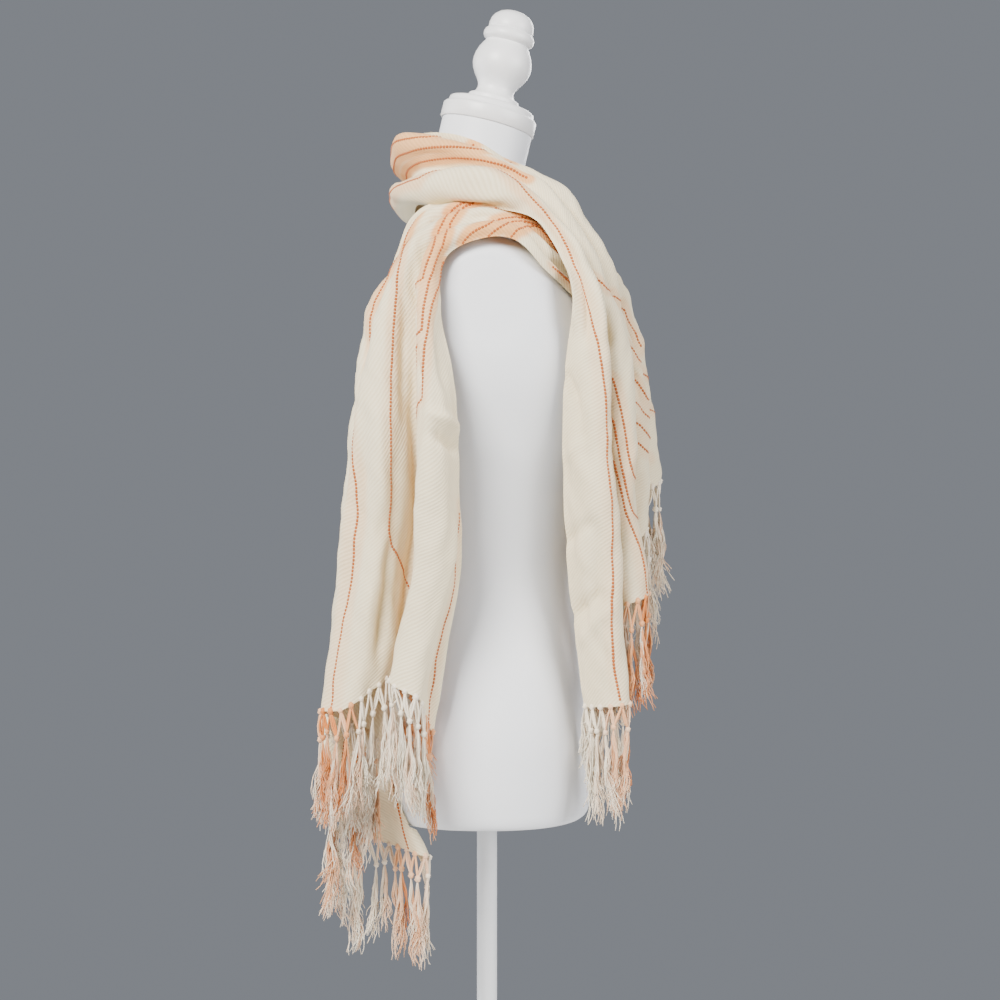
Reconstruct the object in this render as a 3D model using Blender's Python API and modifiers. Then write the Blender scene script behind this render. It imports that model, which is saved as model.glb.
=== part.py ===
"""A fringed scarf worn round a limbless dress form on a pole.

Metres, +Z up. +X is the way the form faces and +Y is its left side. The origin is on the floor, on the
pole's axis. The scarf is one strip of cloth. It starts at the hem that hangs behind the right shoulder,
goes over that shoulder, across the chest, round the left side and the back of the neck, and ends at the
hem that hangs down the front. Its tables run the same way, in millimetres.
"""

import math

import bmesh
import bpy
import numpy as np
from mathutils import Matrix, Vector

MM = 0.001

# The scarf's cloth: its wall, its distance from the form and from the next stretch at a seam.
CLOTH_WALL = 2.0
CLOTH_OFF_FORM = 3.0
SEAM_GAP = 0.9
SEAM_ROW = 2.5

# Its folds: how pointed and how square they are, how unevenly they are spaced and over what angle that
# swings, the steepest slope of a fold's side in radians, and the flattest that cloth with folds gets.
FOLD_CREST = 0.3
FOLD_SOFTNESS = 1.8
FOLD_UNEVEN = 0.09
FOLD_SWING = 8.0
FOLD_STEEPEST = 2.2
FOLD_FLATTEST = 0.985

# Its fringe, from the hem down: a gap, a strip, and locks that sway, thin and flatten as they hang.
FRINGE_LENGTH = 122.0
FRINGE_GAP = 1.5
FRINGE_STRIP = 9.0
LOCK_STEPS = 2
LOCK_SWAY = 1.6
LOCK_TURN = 2.4
LOCK_THINNING = 0.55
LOCK_FLATTENING = 0.4

# How finely the cloth is made: mesh columns, samples of a fold's line and of the guide's length.
COLUMNS_ACROSS = 40
FOLD_SAMPLES = 480
GUIDE_SAMPLES = 40
HALVINGS = 30

# Cloth is pushed out of the torso in a few passes, none further than this.
PUSH_PASSES = 4
PUSH_FURTHEST = 25.0
PUSH_BELOW_RIM = 2.0

# The form: how far its arm plates are from the middle, and its neck with a cap and a finial.
ARM_PLATE_Y = 176.0
RING_SIDES = 36
NECK_TILT = math.radians(14.0)
NECK_TOP = (-0.5, 0.0, 1205.3)
CAP_RADIUS = 50.0
CAP_HEIGHT = 24.0
CAP_BEVEL_WIDTH = 5.5
CAP_BEVEL_DEPTH = 8.8
FIT_GAP = 0.3

# The finial's rounds from the top down, a dome, a bead and a bulb: each is part of an ellipse, from a
# start angle to an end angle above its middle.
FINIAL_COLUMNS = ("radius", "middle", "half_height", "start", "end", "points")
FINIAL_ROUNDS = (
    (24.0, 80.0, 21.0, 90.0, 5.0, 5),
    (27.0, 73.0, 8.0, 40.0, -50.0, 4),
    (31.0, 42.0, 24.0, 55.0, -52.0, 7),
)
FINIAL_NECK_RADIUS = 19.5
FINIAL_NECK_TOP = 17.0
FINIAL_NECK_LOW = 12.0
FINIAL_BASE_RADIUS = 27.0
FINIAL_BASE_HEIGHT = 8.0

# The stand: a pole in a collar on a round foot, whose edge is given as insets from its radius.
POLE_RADIUS = 10.5
COLLAR_TOP_RADIUS = 15.0
COLLAR_RADIUS = 24.0
COLLAR_HEIGHT = 30.0
COLLAR_LIP = 5.0
FOOT_RADIUS = 160.0
FOOT_HEIGHT = 14.0
FOOT_COLUMNS = ("inset", "height")
FOOT_EDGE = (
    (12.0, 11.0),
    (3.0, 8.0),
    (0.0, 4.0),
    (0.0, 0.0),
)
SIDES = {"neck_cap": 36, "finial": 24, "pole": 20, "pole_collar": 24, "foot": 40}

# The torso, one row for each level ring, from the lower rim to the top of the neck.
RING_COLUMNS = ("height", "back", "front", "half_width", "squareness", "tilt")
RINGS = (
    (490.0, -108.0, 106.0, 158.0, 2.4, 0.0),
    (530.0, -117.0, 108.0, 164.0, 2.4, 0.0),
    (580.0, -118.0, 106.0, 164.0, 2.4, 0.0),
    (640.0, -106.0, 99.0, 150.0, 2.4, 0.0),
    (700.0, -91.0, 92.0, 127.0, 2.4, 0.0),
    (750.0, -85.0, 91.0, 118.0, 2.4, 0.0),
    (810.0, -92.0, 102.0, 127.0, 2.4, 0.0),
    (870.0, -104.0, 121.0, 147.0, 2.4, 0.0),
    (925.0, -112.0, 129.0, 168.0, 2.4, 0.0),
    (970.0, -112.0, 124.0, 181.0, 2.3, 0.0),
    (1010.0, -106.0, 112.0, 188.0, 2.2, 0.0),
    (1040.0, -96.0, 98.0, 186.0, 2.1, 0.0),
    (1062.0, -84.0, 82.0, 170.0, 2.0, 0.0),
    (1082.0, -74.0, 66.0, 136.0, 2.0, 2.0),
    (1100.0, -68.0, 52.0, 98.0, 2.0, 6.0),
    (1118.0, -66.0, 41.0, 68.0, 2.0, 10.0),
    (1140.0, -64.0, 35.0, 53.0, 2.0, 14.0),
    (1170.0, -56.0, 40.0, 48.5, 2.0, 14.0),
    (1205.0, -48.0, 48.0, 48.0, 2.0, 14.0),
)

# The surface that the cloth is folded on: its near edge, middle and far edge, the width of cloth that
# shows between them, and its folds: how many, how far the first one is turned, and by how many degrees
# they lean towards the far edge.
GUIDE_COLUMNS = (
    "near_x", "near_y", "near_z", "mid_x", "mid_y", "mid_z", "far_x", "far_y", "far_z",
    "width", "folds", "turn", "lean",
)
GUIDE = (
    (-56, -162, 440, -84, -148, 440, -72, -112, 440, 430, 3.0, 0.06, 20),
    (-54, -170, 560, -88, -154, 560, -102, -108, 560, 430, 3.0, 0.06, 20),
    (-38, -168, 680, -76, -152, 680, -90, -104, 680, 420, 3.0, 0.05, 20),
    (-22, -168, 790, -68, -152, 790, -86, -98, 790, 390, 3.0, 0.04, 18),
    (-28, -184, 900, -72, -166, 900, -102, -96, 900, 330, 3.0, 0.04, 14),
    (-42, -182, 985, -74, -162, 985, -100, -92, 985, 250, 3.0, 0.04, 8),
    (-44, -181, 1032, -66, -156, 1048, -84, -92, 1056, 185, 3.1, 0.06, 4),
    (-22, -181, 1058, -32, -140, 1084, -42, -94, 1098, 142, 3.3, 0.08, 0),
    (24, -179, 1065, 18, -136, 1087, 12, -96, 1104, 132, 3.5, 0.08, 0),
    (60, -170, 1034, 58, -130, 1056, 50, -90, 1080, 125, 3.5, 0.08, 0),
    (104, -98, 998, 90, -76, 1032, 66, -54, 1072, 125, 3.4, 0.06, 0),
    (127, -20, 986, 102, -14, 1032, 62, -8, 1080, 140, 3.3, 0.04, 0),
    (115, 54, 1006, 90, 54, 1050, 54, 50, 1102, 150, 3.1, 0.02, 0),
    (66, 112, 1064, 48, 98, 1098, 24, 74, 1130, 142, 2.8, 0.00, 0),
    (-6, 114, 1104, -16, 102, 1130, -22, 72, 1152, 136, 2.5, 0.00, 0),
    (-52, 66, 1116, -64, 64, 1142, -54, 46, 1168, 135, 2.3, 0.00, 0),
    (-66, 0, 1122, -78, 0, 1146, -68, 0, 1174, 135, 2.2, 0.00, 0),
    (-50, -66, 1126, -62, -66, 1150, -52, -46, 1172, 135, 2.2, 0.00, 0),
    (-8, -104, 1126, -12, -100, 1144, -12, -66, 1160, 132, 2.3, 0.00, 0),
    (32, -122, 1108, 36, -102, 1124, 32, -60, 1138, 140, 2.5, 0.02, 0),
    (60, -148, 1068, 80, -106, 1084, 78, -42, 1104, 180, 2.9, 0.04, 2),
    (76, -163, 1012, 114, -110, 1022, 127, -20, 1036, 245, 3.3, 0.05, 4),
    (66, -156, 940, 120, -106, 945, 140, -2, 950, 350, 3.7, 0.05, 8),
    (58, -140, 840, 106, -94, 840, 126, 10, 840, 450, 4.0, 0.05, 12),
    (64, -128, 730, 102, -82, 730, 114, 10, 730, 480, 4.0, 0.05, 12),
    (80, -114, 600, 114, -74, 600, 122, 4, 600, 490, 4.0, 0.05, 12),
)

# The two hems and the level guide rows that they cross, one row for each place across the cloth: its
# share of the width and its height.
HEM_COLUMNS = ("across", "height")
BACK_ROWS = slice(0, 6)
BACK_HEM = (
    (0.0, 588.0),
    (0.15, 636.0),
    (0.33, 655.0),
    (0.48, 604.0),
    (0.64, 588.0),
    (0.82, 522.0),
    (1.0, 466.0),
)
FRONT_ROWS = slice(21, 26)
FRONT_HEM = (
    (0.0, 616.0),
    (0.14, 620.0),
    (0.30, 706.0),
    (0.50, 742.0),
    (0.75, 820.0),
    (1.0, 862.0),
)

# The stretches of the scarf, one row each: its first and last guide row, and its mesh rows.
STRETCH_COLUMNS = ("name", "first", "last", "rows")
STRETCHES = (
    ("back_fall", 0.0, 5.4, 9),
    ("shoulder_band", 5.4, 9.4, 10),
    ("chest_cowl", 9.4, 12.0, 7),
    ("neck_roll", 12.0, 19.0, 13),
    ("front_fall", 19.0, 25.0, 11),
)

# Finishes: colour, roughness and metallic value.
COLOURS = {
    "cloth": ((0.86, 0.80, 0.68, 1.0), 0.85, 0.0),
    "fringe": ((0.90, 0.72, 0.50, 1.0), 0.85, 0.0),
    "cover": ((0.90, 0.91, 0.92, 1.0), 0.55, 0.0),
    "painted": ((0.92, 0.92, 0.93, 1.0), 0.35, 0.0),
}


def clear_scene():
    """Remove whatever objects the scene starts with."""
    for old in list(bpy.data.objects):
        bpy.data.objects.remove(old, do_unlink=True)


def material(name):
    """A Principled BSDF with the colour, roughness and metallic value of the table above."""
    colour, roughness, metallic = COLOURS[name]
    made = bpy.data.materials.get(name) or bpy.data.materials.new(name)
    made.use_nodes = True
    made.diffuse_color = colour
    shader = made.node_tree.nodes["Principled BSDF"]
    shader.inputs["Base Color"].default_value = colour
    shader.inputs["Roughness"].default_value = roughness
    shader.inputs["Metallic"].default_value = metallic
    return made


def column(rows, columns, name):
    """One named column of a table, as an array."""
    return np.array([row[columns.index(name)] for row in rows], float)


def between_rows(values, where):
    """Values of a table's column at fractional rows, on a smooth curve through the rows."""
    where = np.clip(np.asarray(where, float), 0.0, len(values) - 1.0)
    row = np.minimum(where.astype(int), len(values) - 2)
    part = where - row
    before = values[np.maximum(row - 1, 0)]
    first = values[row]
    second = values[row + 1]
    after = values[np.minimum(row + 2, len(values) - 1)]
    leave = (second - before) / 2.0
    arrive = (after - first) / 2.0
    square = part * part
    cube = square * part
    return (
        (2 * cube - 3 * square + 1) * first
        + (cube - 2 * square + part) * leave
        + (3 * square - 2 * cube) * second
        + (cube - square) * arrive
    )


def guide_value(name, where):
    """A column of the guide table at fractional rows."""
    return between_rows(column(GUIDE, GUIDE_COLUMNS, name), where)


def guide_points(where, across):
    """Points of the guide surface, at a fractional row and a share of the way from edge to edge."""
    near, mid, far = (
        np.stack([guide_value(f"{edge}_{axis}", where) for axis in "xyz"], -1)
        for edge in ("near", "mid", "far")
    )
    bow = 2.0 * mid - (near + far) / 2.0
    part = np.asarray(across, float)[..., None]
    return (1 - part) ** 2 * near + 2 * part * (1 - part) * bow + part**2 * far


def guide_frame(where, across):
    """Points of the guide surface, its outward normals and its directions towards the far edge."""
    step = 0.01
    points = guide_points(where, across)
    ahead = guide_points(np.minimum(where + step, len(GUIDE) - 1.0), across)
    behind = guide_points(np.maximum(where - step, 0.0), across)
    along = ahead - behind
    over = guide_points(where, across + step) - guide_points(where, across - step)
    normals = np.cross(along, over)
    over = np.cross(normals, along)
    return (
        points,
        normals / np.linalg.norm(normals, axis=-1, keepdims=True),
        over / np.linalg.norm(over, axis=-1, keepdims=True),
    )


def fold_wave(folds, turn, share, across):
    """Advance and height of a folded line of length 1, whose ends are a given share of it apart.

    The line's slope swings to and fro once a fold. The greatest slope is found by halving.
    """
    line = np.linspace(0.0, 1.0, FOLD_SAMPLES)
    phase = 2 * math.pi * (turn + folds * line + FOLD_UNEVEN * np.sin(FOLD_SWING * line))
    swing = np.sin(phase + FOLD_CREST * np.sin(phase))
    softness = FOLD_SOFTNESS * share
    swing = swing * math.hypot(1.0, softness) / np.hypot(swing, softness)
    low, high = 0.0, FOLD_STEEPEST
    for _ in range(HALVINGS):
        peak = (low + high) / 2
        if np.cos(peak * swing).mean() > share:
            low = peak
        else:
            high = peak
    slope = peak * swing
    step = 1.0 / (FOLD_SAMPLES - 1)
    advance = np.concatenate([[0.0], np.cumsum((np.cos(slope[1:]) + np.cos(slope[:-1])) / 2 * step)])
    height = np.concatenate([[0.0], np.cumsum((np.sin(slope[1:]) + np.sin(slope[:-1])) / 2 * step)])
    height -= height.min()
    return np.interp(across, line, advance / advance[-1]), np.interp(across, line, height)


def guide_length(where):
    """Length of the guide surface from edge to edge at one row."""
    points = guide_points(np.full(GUIDE_SAMPLES, where), np.linspace(0.0, 1.0, GUIDE_SAMPLES))
    return float(np.linalg.norm(np.diff(points, axis=0), axis=1).sum())


def ring_values(height):
    """Centre, half depth, half width and squareness of the torso at given heights."""
    heights = column(RINGS, RING_COLUMNS, "height")
    back, front, half_width, squareness = (
        np.interp(height, heights, column(RINGS, RING_COLUMNS, name))
        for name in ("back", "front", "half_width", "squareness")
    )
    return (back + front) / 2, (front - back) / 2, half_width, squareness


def torso_level(points):
    """How far points stand out from the torso's middle, as a share of its own reach."""
    centre, half_depth, half_width, squareness = ring_values(points[..., 2])
    reach = np.abs((points[..., 0] - centre) / half_depth) ** squareness
    reach = reach + np.abs(points[..., 1] / half_width) ** squareness
    return reach ** (1 / squareness)


def torso_distance(points):
    """Nearly the distance from the torso's surface, and the way out of it."""
    level = torso_level(points)
    step = 0.5
    slope = np.stack(
        [
            (torso_level(points + step * axis) - torso_level(points - step * axis)) / (2 * step)
            for axis in np.eye(3)
        ],
        -1,
    )
    steepness = np.maximum(np.linalg.norm(slope, axis=-1), 1e-4)
    distance = (level - 1.0) / steepness
    way = slope / steepness[..., None]
    beside = np.abs(points[..., 1]) - ARM_PLATE_Y
    on_plate = beside > distance
    way[on_plate] = 0.0
    way[on_plate, 1] = np.sign(points[on_plate, 1])
    return np.where(on_plate, beside, distance), way


def clear_of_form(points, gap):
    """The same points, moved out of the torso where they are less than the gap from it."""
    points = points.copy()
    low = RINGS[0][0] - PUSH_BELOW_RIM
    for _ in range(PUSH_PASSES):
        distance, way = torso_distance(points)
        short = np.clip(gap - distance, 0.0, PUSH_FURTHEST)
        short[points[..., 2] < low] = 0.0
        points += short[..., None] * way
    return points


def cloth_points(where, across):
    """Points of the cloth's middle surface.

    Args:
        where: a fractional guide row for each mesh row and column.
        across: each column's share of the width, from the near edge.
    """
    grid = np.empty(where.shape + (3,))
    for (row, place), spot in np.ndenumerate(where):
        width = float(guide_value("width", spot))
        folds = float(guide_value("folds", spot))
        turn = float(guide_value("turn", spot))
        share = min(guide_length(spot) / width, FOLD_FLATTEST)
        advance, height = fold_wave(folds, turn, share, across[place])
        lean = math.radians(float(guide_value("lean", spot)))
        point, normal, over = guide_frame(np.array(spot), np.array(advance))
        grid[row, place] = point + (normal * math.cos(lean) + over * math.sin(lean)) * (height * width)
    return clear_of_form(grid, CLOTH_OFF_FORM)


def hem_rows(hem, across, drop, falls):
    """The fractional guide row of a hem at each share of the width, a little lower by the drop."""
    heights = np.interp(across, column(hem, HEM_COLUMNS, "across"), column(hem, HEM_COLUMNS, "height"))
    rows = np.arange(len(GUIDE))[falls]
    levels = column(GUIDE, GUIDE_COLUMNS, "mid_z")[falls]
    order = np.argsort(levels)
    return np.interp(heights - drop, levels[order], rows[order])


def row_length(where):
    """Length along the scarf of one guide row, at its middle."""
    half = 0.05
    ends = guide_points(np.array([where - half, where + half]), np.array([0.5, 0.5]))
    return float(np.linalg.norm(ends[1] - ends[0]) / (2 * half))


def stretch_rows(first, last, rows, across):
    """The fractional guide rows of one stretch, clear of its neighbours by half the seam's gap."""
    start = np.full(len(across), first + SEAM_GAP / 2 / row_length(first + 0.1))
    end = np.full(len(across), last - SEAM_GAP / 2 / row_length(last - 0.1))
    if first == 0.0:
        start = hem_rows(BACK_HEM, across, 0.0, BACK_ROWS)
    if last == len(GUIDE) - 1.0:
        end = hem_rows(FRONT_HEM, across, 0.0, FRONT_ROWS)
    part = np.linspace(0.0, 1.0, rows - 1)[:, None]
    evenly = start * (1 - part) + end * part
    after_start = start + SEAM_ROW / row_length(first + 0.1)
    before_end = end - SEAM_ROW / row_length(last - 0.1)
    return np.concatenate([evenly[:1], after_start[None], evenly[1:-1], before_end[None], evenly[-1:]])


def grid_mesh(points):
    """A bmesh grid whose vertices stand at the given points, and its vertices by row and column."""
    rows, columns = points.shape[:2]
    mesh = bmesh.new()
    bmesh.ops.create_grid(mesh, x_segments=columns - 1, y_segments=rows - 1, size=0.5)
    vertices = {}
    for vertex in mesh.verts:
        place = round((vertex.co.x + 0.5) * (columns - 1))
        row = round((vertex.co.y + 0.5) * (rows - 1))
        vertices[row, place] = vertex
    for (row, place), vertex in vertices.items():
        vertex.co = Vector(points[row, place]) * MM
    return mesh, vertices


def link(name, mesh, collection, look):
    """A new object of a bmesh, with its material, in the object's collection."""
    data = bpy.data.meshes.new(name)
    mesh.to_mesh(data)
    mesh.free()
    data.materials.append(material(look))
    data.shade_smooth()
    made = bpy.data.objects.new(name, data)
    collection.objects.link(made)
    return made


def cloth_stretch(stretch, collection):
    """One stretch of the scarf: an open grid on its folds, made a wall by Solidify."""
    row = dict(zip(STRETCH_COLUMNS, stretch))
    across = np.linspace(0.0, 1.0, COLUMNS_ACROSS + 1)
    where = stretch_rows(row["first"], row["last"], row["rows"], across)
    mesh, _ = grid_mesh(cloth_points(where, across))
    made = link(row["name"], mesh, collection, "cloth")
    wall = made.modifiers.new("wall", "SOLIDIFY")
    wall.thickness = CLOTH_WALL * MM
    wall.offset = 0.0
    return made


def fringe(name, hem, falls, collection):
    """One end's fringe: a narrow strip under the hem with a row of locks drawn down from it."""
    across = np.linspace(0.0, 1.0, COLUMNS_ACROSS + 1)
    where = np.stack([hem_rows(hem, across, drop, falls) for drop in (FRINGE_GAP, FRINGE_STRIP)])
    corners = cloth_points(where, across)
    points = np.empty((2, 2 * COLUMNS_ACROSS + 1, 3))
    points[:, ::2] = corners
    points[:, 1::2] = (corners[:, 1:] + corners[:, :-1]) / 2
    mesh, vertices = grid_mesh(points)
    below = [vertices[1, place] for place in range(points.shape[1])]
    outer = set(mesh.verts)
    mesh.normal_update()
    bmesh.ops.solidify(mesh, geom=list(mesh.faces), thickness=CLOTH_WALL * MM)
    for place in range(0, 2 * COLUMNS_ACROSS, 2):
        edge = mesh.edges.get((below[place], below[place + 1]))
        rim = next(face for face in edge.link_faces if any(v not in outer for v in face.verts))
        draw_lock(mesh, rim, place)
    bmesh.ops.recalc_face_normals(mesh, faces=mesh.faces)
    return link(name, mesh, collection, "fringe")


def draw_lock(mesh, face, place):
    """Draw one lock down from a face of the strip's lower rim, swaying and thinning as it goes."""
    step = (FRINGE_LENGTH - FRINGE_STRIP) / LOCK_STEPS
    lean = place * LOCK_TURN
    for number in range(1, LOCK_STEPS + 1):
        face = bmesh.ops.extrude_discrete_faces(mesh, faces=[face])["faces"][0]
        middle = face.calc_center_median()
        sway = LOCK_SWAY * number / LOCK_STEPS
        middle_below = middle + Vector((sway * math.cos(lean), sway * math.sin(lean), -step)) * MM
        thin = (1.0 - LOCK_THINNING * number / LOCK_STEPS) ** (1 / number)
        level = middle.z
        for vertex in face.verts:
            offset = (vertex.co - middle) * thin
            offset.z = (vertex.co.z - level) * LOCK_FLATTENING
            vertex.co = middle_below + offset


def torso(collection):
    """The torso and neck: level rings of one squared ellipse each, cut flat at the arm plates."""
    mesh = bmesh.new()
    loops = []
    for row in RINGS:
        height, back, front, half_width, squareness, tilt = row
        lean = math.radians(tilt)
        ring = []
        for side in range(RING_SIDES):
            angle = 2 * math.pi * side / RING_SIDES
            forward = math.copysign(abs(math.cos(angle)) ** (2 / squareness), math.cos(angle))
            left = math.copysign(abs(math.sin(angle)) ** (2 / squareness), math.sin(angle))
            depth = forward * (front - back) / 2
            x = (front + back) / 2 + depth * math.cos(lean)
            y = max(-ARM_PLATE_Y, min(ARM_PLATE_Y, left * half_width))
            ring.append(mesh.verts.new(Vector((x, y, height - depth * math.sin(lean))) * MM))
        loops.append(ring)
    for lower, upper in zip(loops, loops[1:]):
        for side in range(RING_SIDES):
            after = (side + 1) % RING_SIDES
            mesh.faces.new((lower[side], lower[after], upper[after], upper[side]))
    mesh.faces.new(reversed(loops[0]))
    mesh.faces.new(loops[-1])
    bmesh.ops.recalc_face_normals(mesh, faces=mesh.faces)
    return link("torso", mesh, collection, "cover")


def turned(name, profile, collection):
    """A turned piece: an outline from its top down, swept round the Z axis."""
    mesh = bmesh.new()
    outline = [mesh.verts.new(Vector((radius, 0.0, height)) * MM) for radius, height in profile]
    for upper, lower in zip(outline, outline[1:]):
        mesh.edges.new((upper, lower))
    made = link(name, mesh, collection, "painted")
    screw = made.modifiers.new("turn", "SCREW")
    screw.steps = SIDES[name]
    screw.render_steps = SIDES[name]
    screw.use_merge_vertices = True
    screw.merge_threshold = 0.00001
    screw.use_smooth_shade = True
    return made


def finial_outline():
    """The finial's outline, from its top down."""
    outline = []
    for radius, middle, half_height, start, end, points in FINIAL_ROUNDS:
        for angle in np.radians(np.linspace(start, end, points)):
            outline.append((radius * math.cos(angle), middle + half_height * math.sin(angle)))
    return outline + [
        (FINIAL_NECK_RADIUS, FINIAL_NECK_TOP),
        (FINIAL_NECK_RADIUS, FINIAL_NECK_LOW),
        (FINIAL_BASE_RADIUS, FINIAL_BASE_HEIGHT),
        (FINIAL_BASE_RADIUS, 0.0),
        (0.0, 0.0),
    ]


def neck_pieces(collection):
    """The neck's cap and the finial on it, both leaning with the neck."""
    cap = turned(
        "neck_cap",
        [
            (0.0, CAP_HEIGHT),
            (CAP_RADIUS - CAP_BEVEL_WIDTH, CAP_HEIGHT),
            (CAP_RADIUS, CAP_HEIGHT - CAP_BEVEL_DEPTH),
            (CAP_RADIUS, 0.0),
            (0.0, 0.0),
        ],
        collection,
    )
    base = CAP_HEIGHT + FIT_GAP
    finial = turned(
        "finial", [(radius, height + base) for radius, height in finial_outline()], collection
    )
    lean = Matrix.Translation(Vector(NECK_TOP) * MM) @ Matrix.Rotation(NECK_TILT, 4, "Y")
    for piece in (cap, finial):
        piece.matrix_world = lean


def stand(collection):
    """The pole under the torso, and its collar and round foot."""
    top = RINGS[0][0] - FIT_GAP
    bottom = FOOT_HEIGHT + FIT_GAP
    turned(
        "pole", [(0.0, top), (POLE_RADIUS, top), (POLE_RADIUS, bottom), (0.0, bottom)], collection
    )
    inner = POLE_RADIUS + FIT_GAP
    turned(
        "pole_collar",
        [
            (inner, bottom + COLLAR_HEIGHT),
            (COLLAR_TOP_RADIUS, bottom + COLLAR_HEIGHT),
            (COLLAR_RADIUS, bottom + COLLAR_LIP),
            (COLLAR_RADIUS, bottom),
            (inner, bottom),
            (inner, bottom + COLLAR_HEIGHT),
        ],
        collection,
    )
    edge = [(FOOT_RADIUS - inset, height) for inset, height in FOOT_EDGE]
    turned("foot", [(0.0, FOOT_HEIGHT)] + edge + [(0.0, 0.0)], collection)


def main():
    """Build the form, its stand and the scarf in one collection."""
    clear_scene()
    collection = bpy.data.collections.new("fringed_scarf_on_dress_form")
    bpy.context.scene.collection.children.link(collection)
    torso(collection)
    neck_pieces(collection)
    stand(collection)
    for stretch in STRETCHES:
        cloth_stretch(stretch, collection)
    fringe("fringe_back", BACK_HEM, BACK_ROWS, collection)
    fringe("fringe_front", FRONT_HEM, FRONT_ROWS, collection)


main()
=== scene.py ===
"""Looks of a fringed scarf worn round a limbless dress form on a pole.

The tables of the scarf's guide and of the torso's rings are the sizes of the CAD model, and so are those of
the hems, but for the far corner of the back one. The other tables add what the solids leave out: how the
cloth settles, its creases and its stripes. Tables are in millimetres, and the finished meshes in metres, in
the same frame: +Z up, +X the way the form faces, the origin on the floor on the pole's axis.
"""

import logging
import math
from dataclasses import dataclass, field
from enum import Enum

import bpy
import numpy as np
from mathutils import Matrix, Vector


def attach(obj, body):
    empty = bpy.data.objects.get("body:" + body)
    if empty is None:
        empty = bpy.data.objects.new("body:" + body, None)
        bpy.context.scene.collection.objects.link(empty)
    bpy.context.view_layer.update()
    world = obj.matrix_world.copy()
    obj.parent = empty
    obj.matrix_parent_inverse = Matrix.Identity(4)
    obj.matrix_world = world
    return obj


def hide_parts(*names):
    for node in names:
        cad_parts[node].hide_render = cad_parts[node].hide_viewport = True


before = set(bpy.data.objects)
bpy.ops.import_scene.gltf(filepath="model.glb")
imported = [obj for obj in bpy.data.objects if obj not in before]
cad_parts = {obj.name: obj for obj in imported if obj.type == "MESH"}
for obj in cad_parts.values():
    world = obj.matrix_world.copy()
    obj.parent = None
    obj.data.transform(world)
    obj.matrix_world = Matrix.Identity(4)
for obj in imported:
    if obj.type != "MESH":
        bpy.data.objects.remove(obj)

log = logging.getLogger("scarf")
MM = 0.001
SMALLEST = 1e-9
BODY = "root"
Socket = bpy.types.NodeSocket
Array = np.ndarray


class Slot(Enum):
    """Material slots of the record."""

    CLOTH = "scarf_cloth"
    FRINGE = "scarf_fringe"
    COVER = "form_cover"
    PAINT = "white_paint"


class End(Enum):
    """The scarf's two ends."""

    BACK = "back"
    FRONT = "front"


# ---- helpers for colours, nodes and meshes


def linear(code: str) -> tuple[float, float, float, float]:
    """Turn an sRGB hex colour into the linear values that shaders take.

    Args:
        code: the colour, such as "#F0E8D8".

    Returns:
        Red, green, blue and alpha.
    """
    parts = [int(code[i : i + 2], 16) / 255 for i in (1, 3, 5)]
    made = [p / 12.92 if p <= 0.04045 else ((p + 0.055) / 1.055) ** 2.4 for p in parts]
    return (made[0], made[1], made[2], 1.0)


def add_node(
    tree: bpy.types.NodeTree,
    kind: str,
    settings: dict[str, object] | None = None,
    values: dict[str | int, object] | None = None,
    links: dict[str | int, Socket] | None = None,
) -> bpy.types.Node:
    """Add a shader node.

    Args:
        tree: the material's node tree.
        kind: the node's type name, without the ShaderNode before it.
        settings: attributes of the node.
        values: default values of its inputs, by name or number.
        links: output sockets that feed its inputs, by name or number.

    Returns:
        The node.
    """
    node = tree.nodes.new("ShaderNode" + kind)
    for name, value in (settings or {}).items():
        setattr(node, name, value)
    for key, value in (values or {}).items():
        node.inputs[key].default_value = value
    for key, source in (links or {}).items():
        tree.links.new(source, node.inputs[key])
    return node


def new_material(
    name: str, shader_values: dict[str, object]
) -> tuple[bpy.types.Material, bpy.types.Node]:
    """Start a material with one Principled shader.

    Args:
        name: the material's name.
        shader_values: values of the shader's sockets that are the same all over.

    Returns:
        The material and its shader node.
    """
    made = bpy.data.materials.new(name)
    made.use_nodes = True
    shader = made.node_tree.nodes["Principled BSDF"]
    for key, value in shader_values.items():
        shader.inputs[key].default_value = value
    return made, shader


def mesh_object(
    name: str, points: Array, faces: list | Array, looks: bpy.types.Material
) -> bpy.types.Object:
    """Make an object from points in millimetres and faces.

    Args:
        name: the object's name.
        points: one row for each vertex.
        faces: the vertex numbers of each face.
        looks: its material.

    Returns:
        The object, smooth all over.
    """
    data = bpy.data.meshes.new(name)
    data.from_pydata((np.asarray(points) * MM).tolist(), [], [list(map(int, face)) for face in faces])
    data.materials.append(looks)
    data.shade_smooth()
    made = bpy.data.objects.new(name, data)
    bpy.context.scene.collection.objects.link(made)
    return made


def paint(obj: bpy.types.Object, name: str, values: Array) -> None:
    """Give a mesh one number for each vertex, which its material reads by name."""
    layer = obj.data.attributes.new(name, "FLOAT", "POINT")
    layer.data.foreach_set("value", np.ascontiguousarray(values, np.float32))


def deselect() -> None:
    """Leave edit mode and select nothing."""
    if bpy.context.object is not None and bpy.context.object.mode != "OBJECT":
        bpy.ops.object.mode_set(mode="OBJECT")
    bpy.ops.object.select_all(action="DESELECT")


def smooth_step(values: Array) -> Array:
    """Ease values from 0 to 1, clipped at both ends."""
    values = np.clip(values, 0.0, 1.0)
    return values * values * (3 - 2 * values)


def unit(vectors: Array) -> Array:
    """Vectors of length 1 that point the same way."""
    return vectors / np.maximum(np.linalg.norm(vectors, axis=-1, keepdims=True), SMALLEST)


def run_along(points: Array) -> Array:
    """The distance from the first point of a line to each of its points."""
    return np.concatenate([[0.0], np.cumsum(np.linalg.norm(np.diff(points, axis=0), axis=1))])


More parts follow.
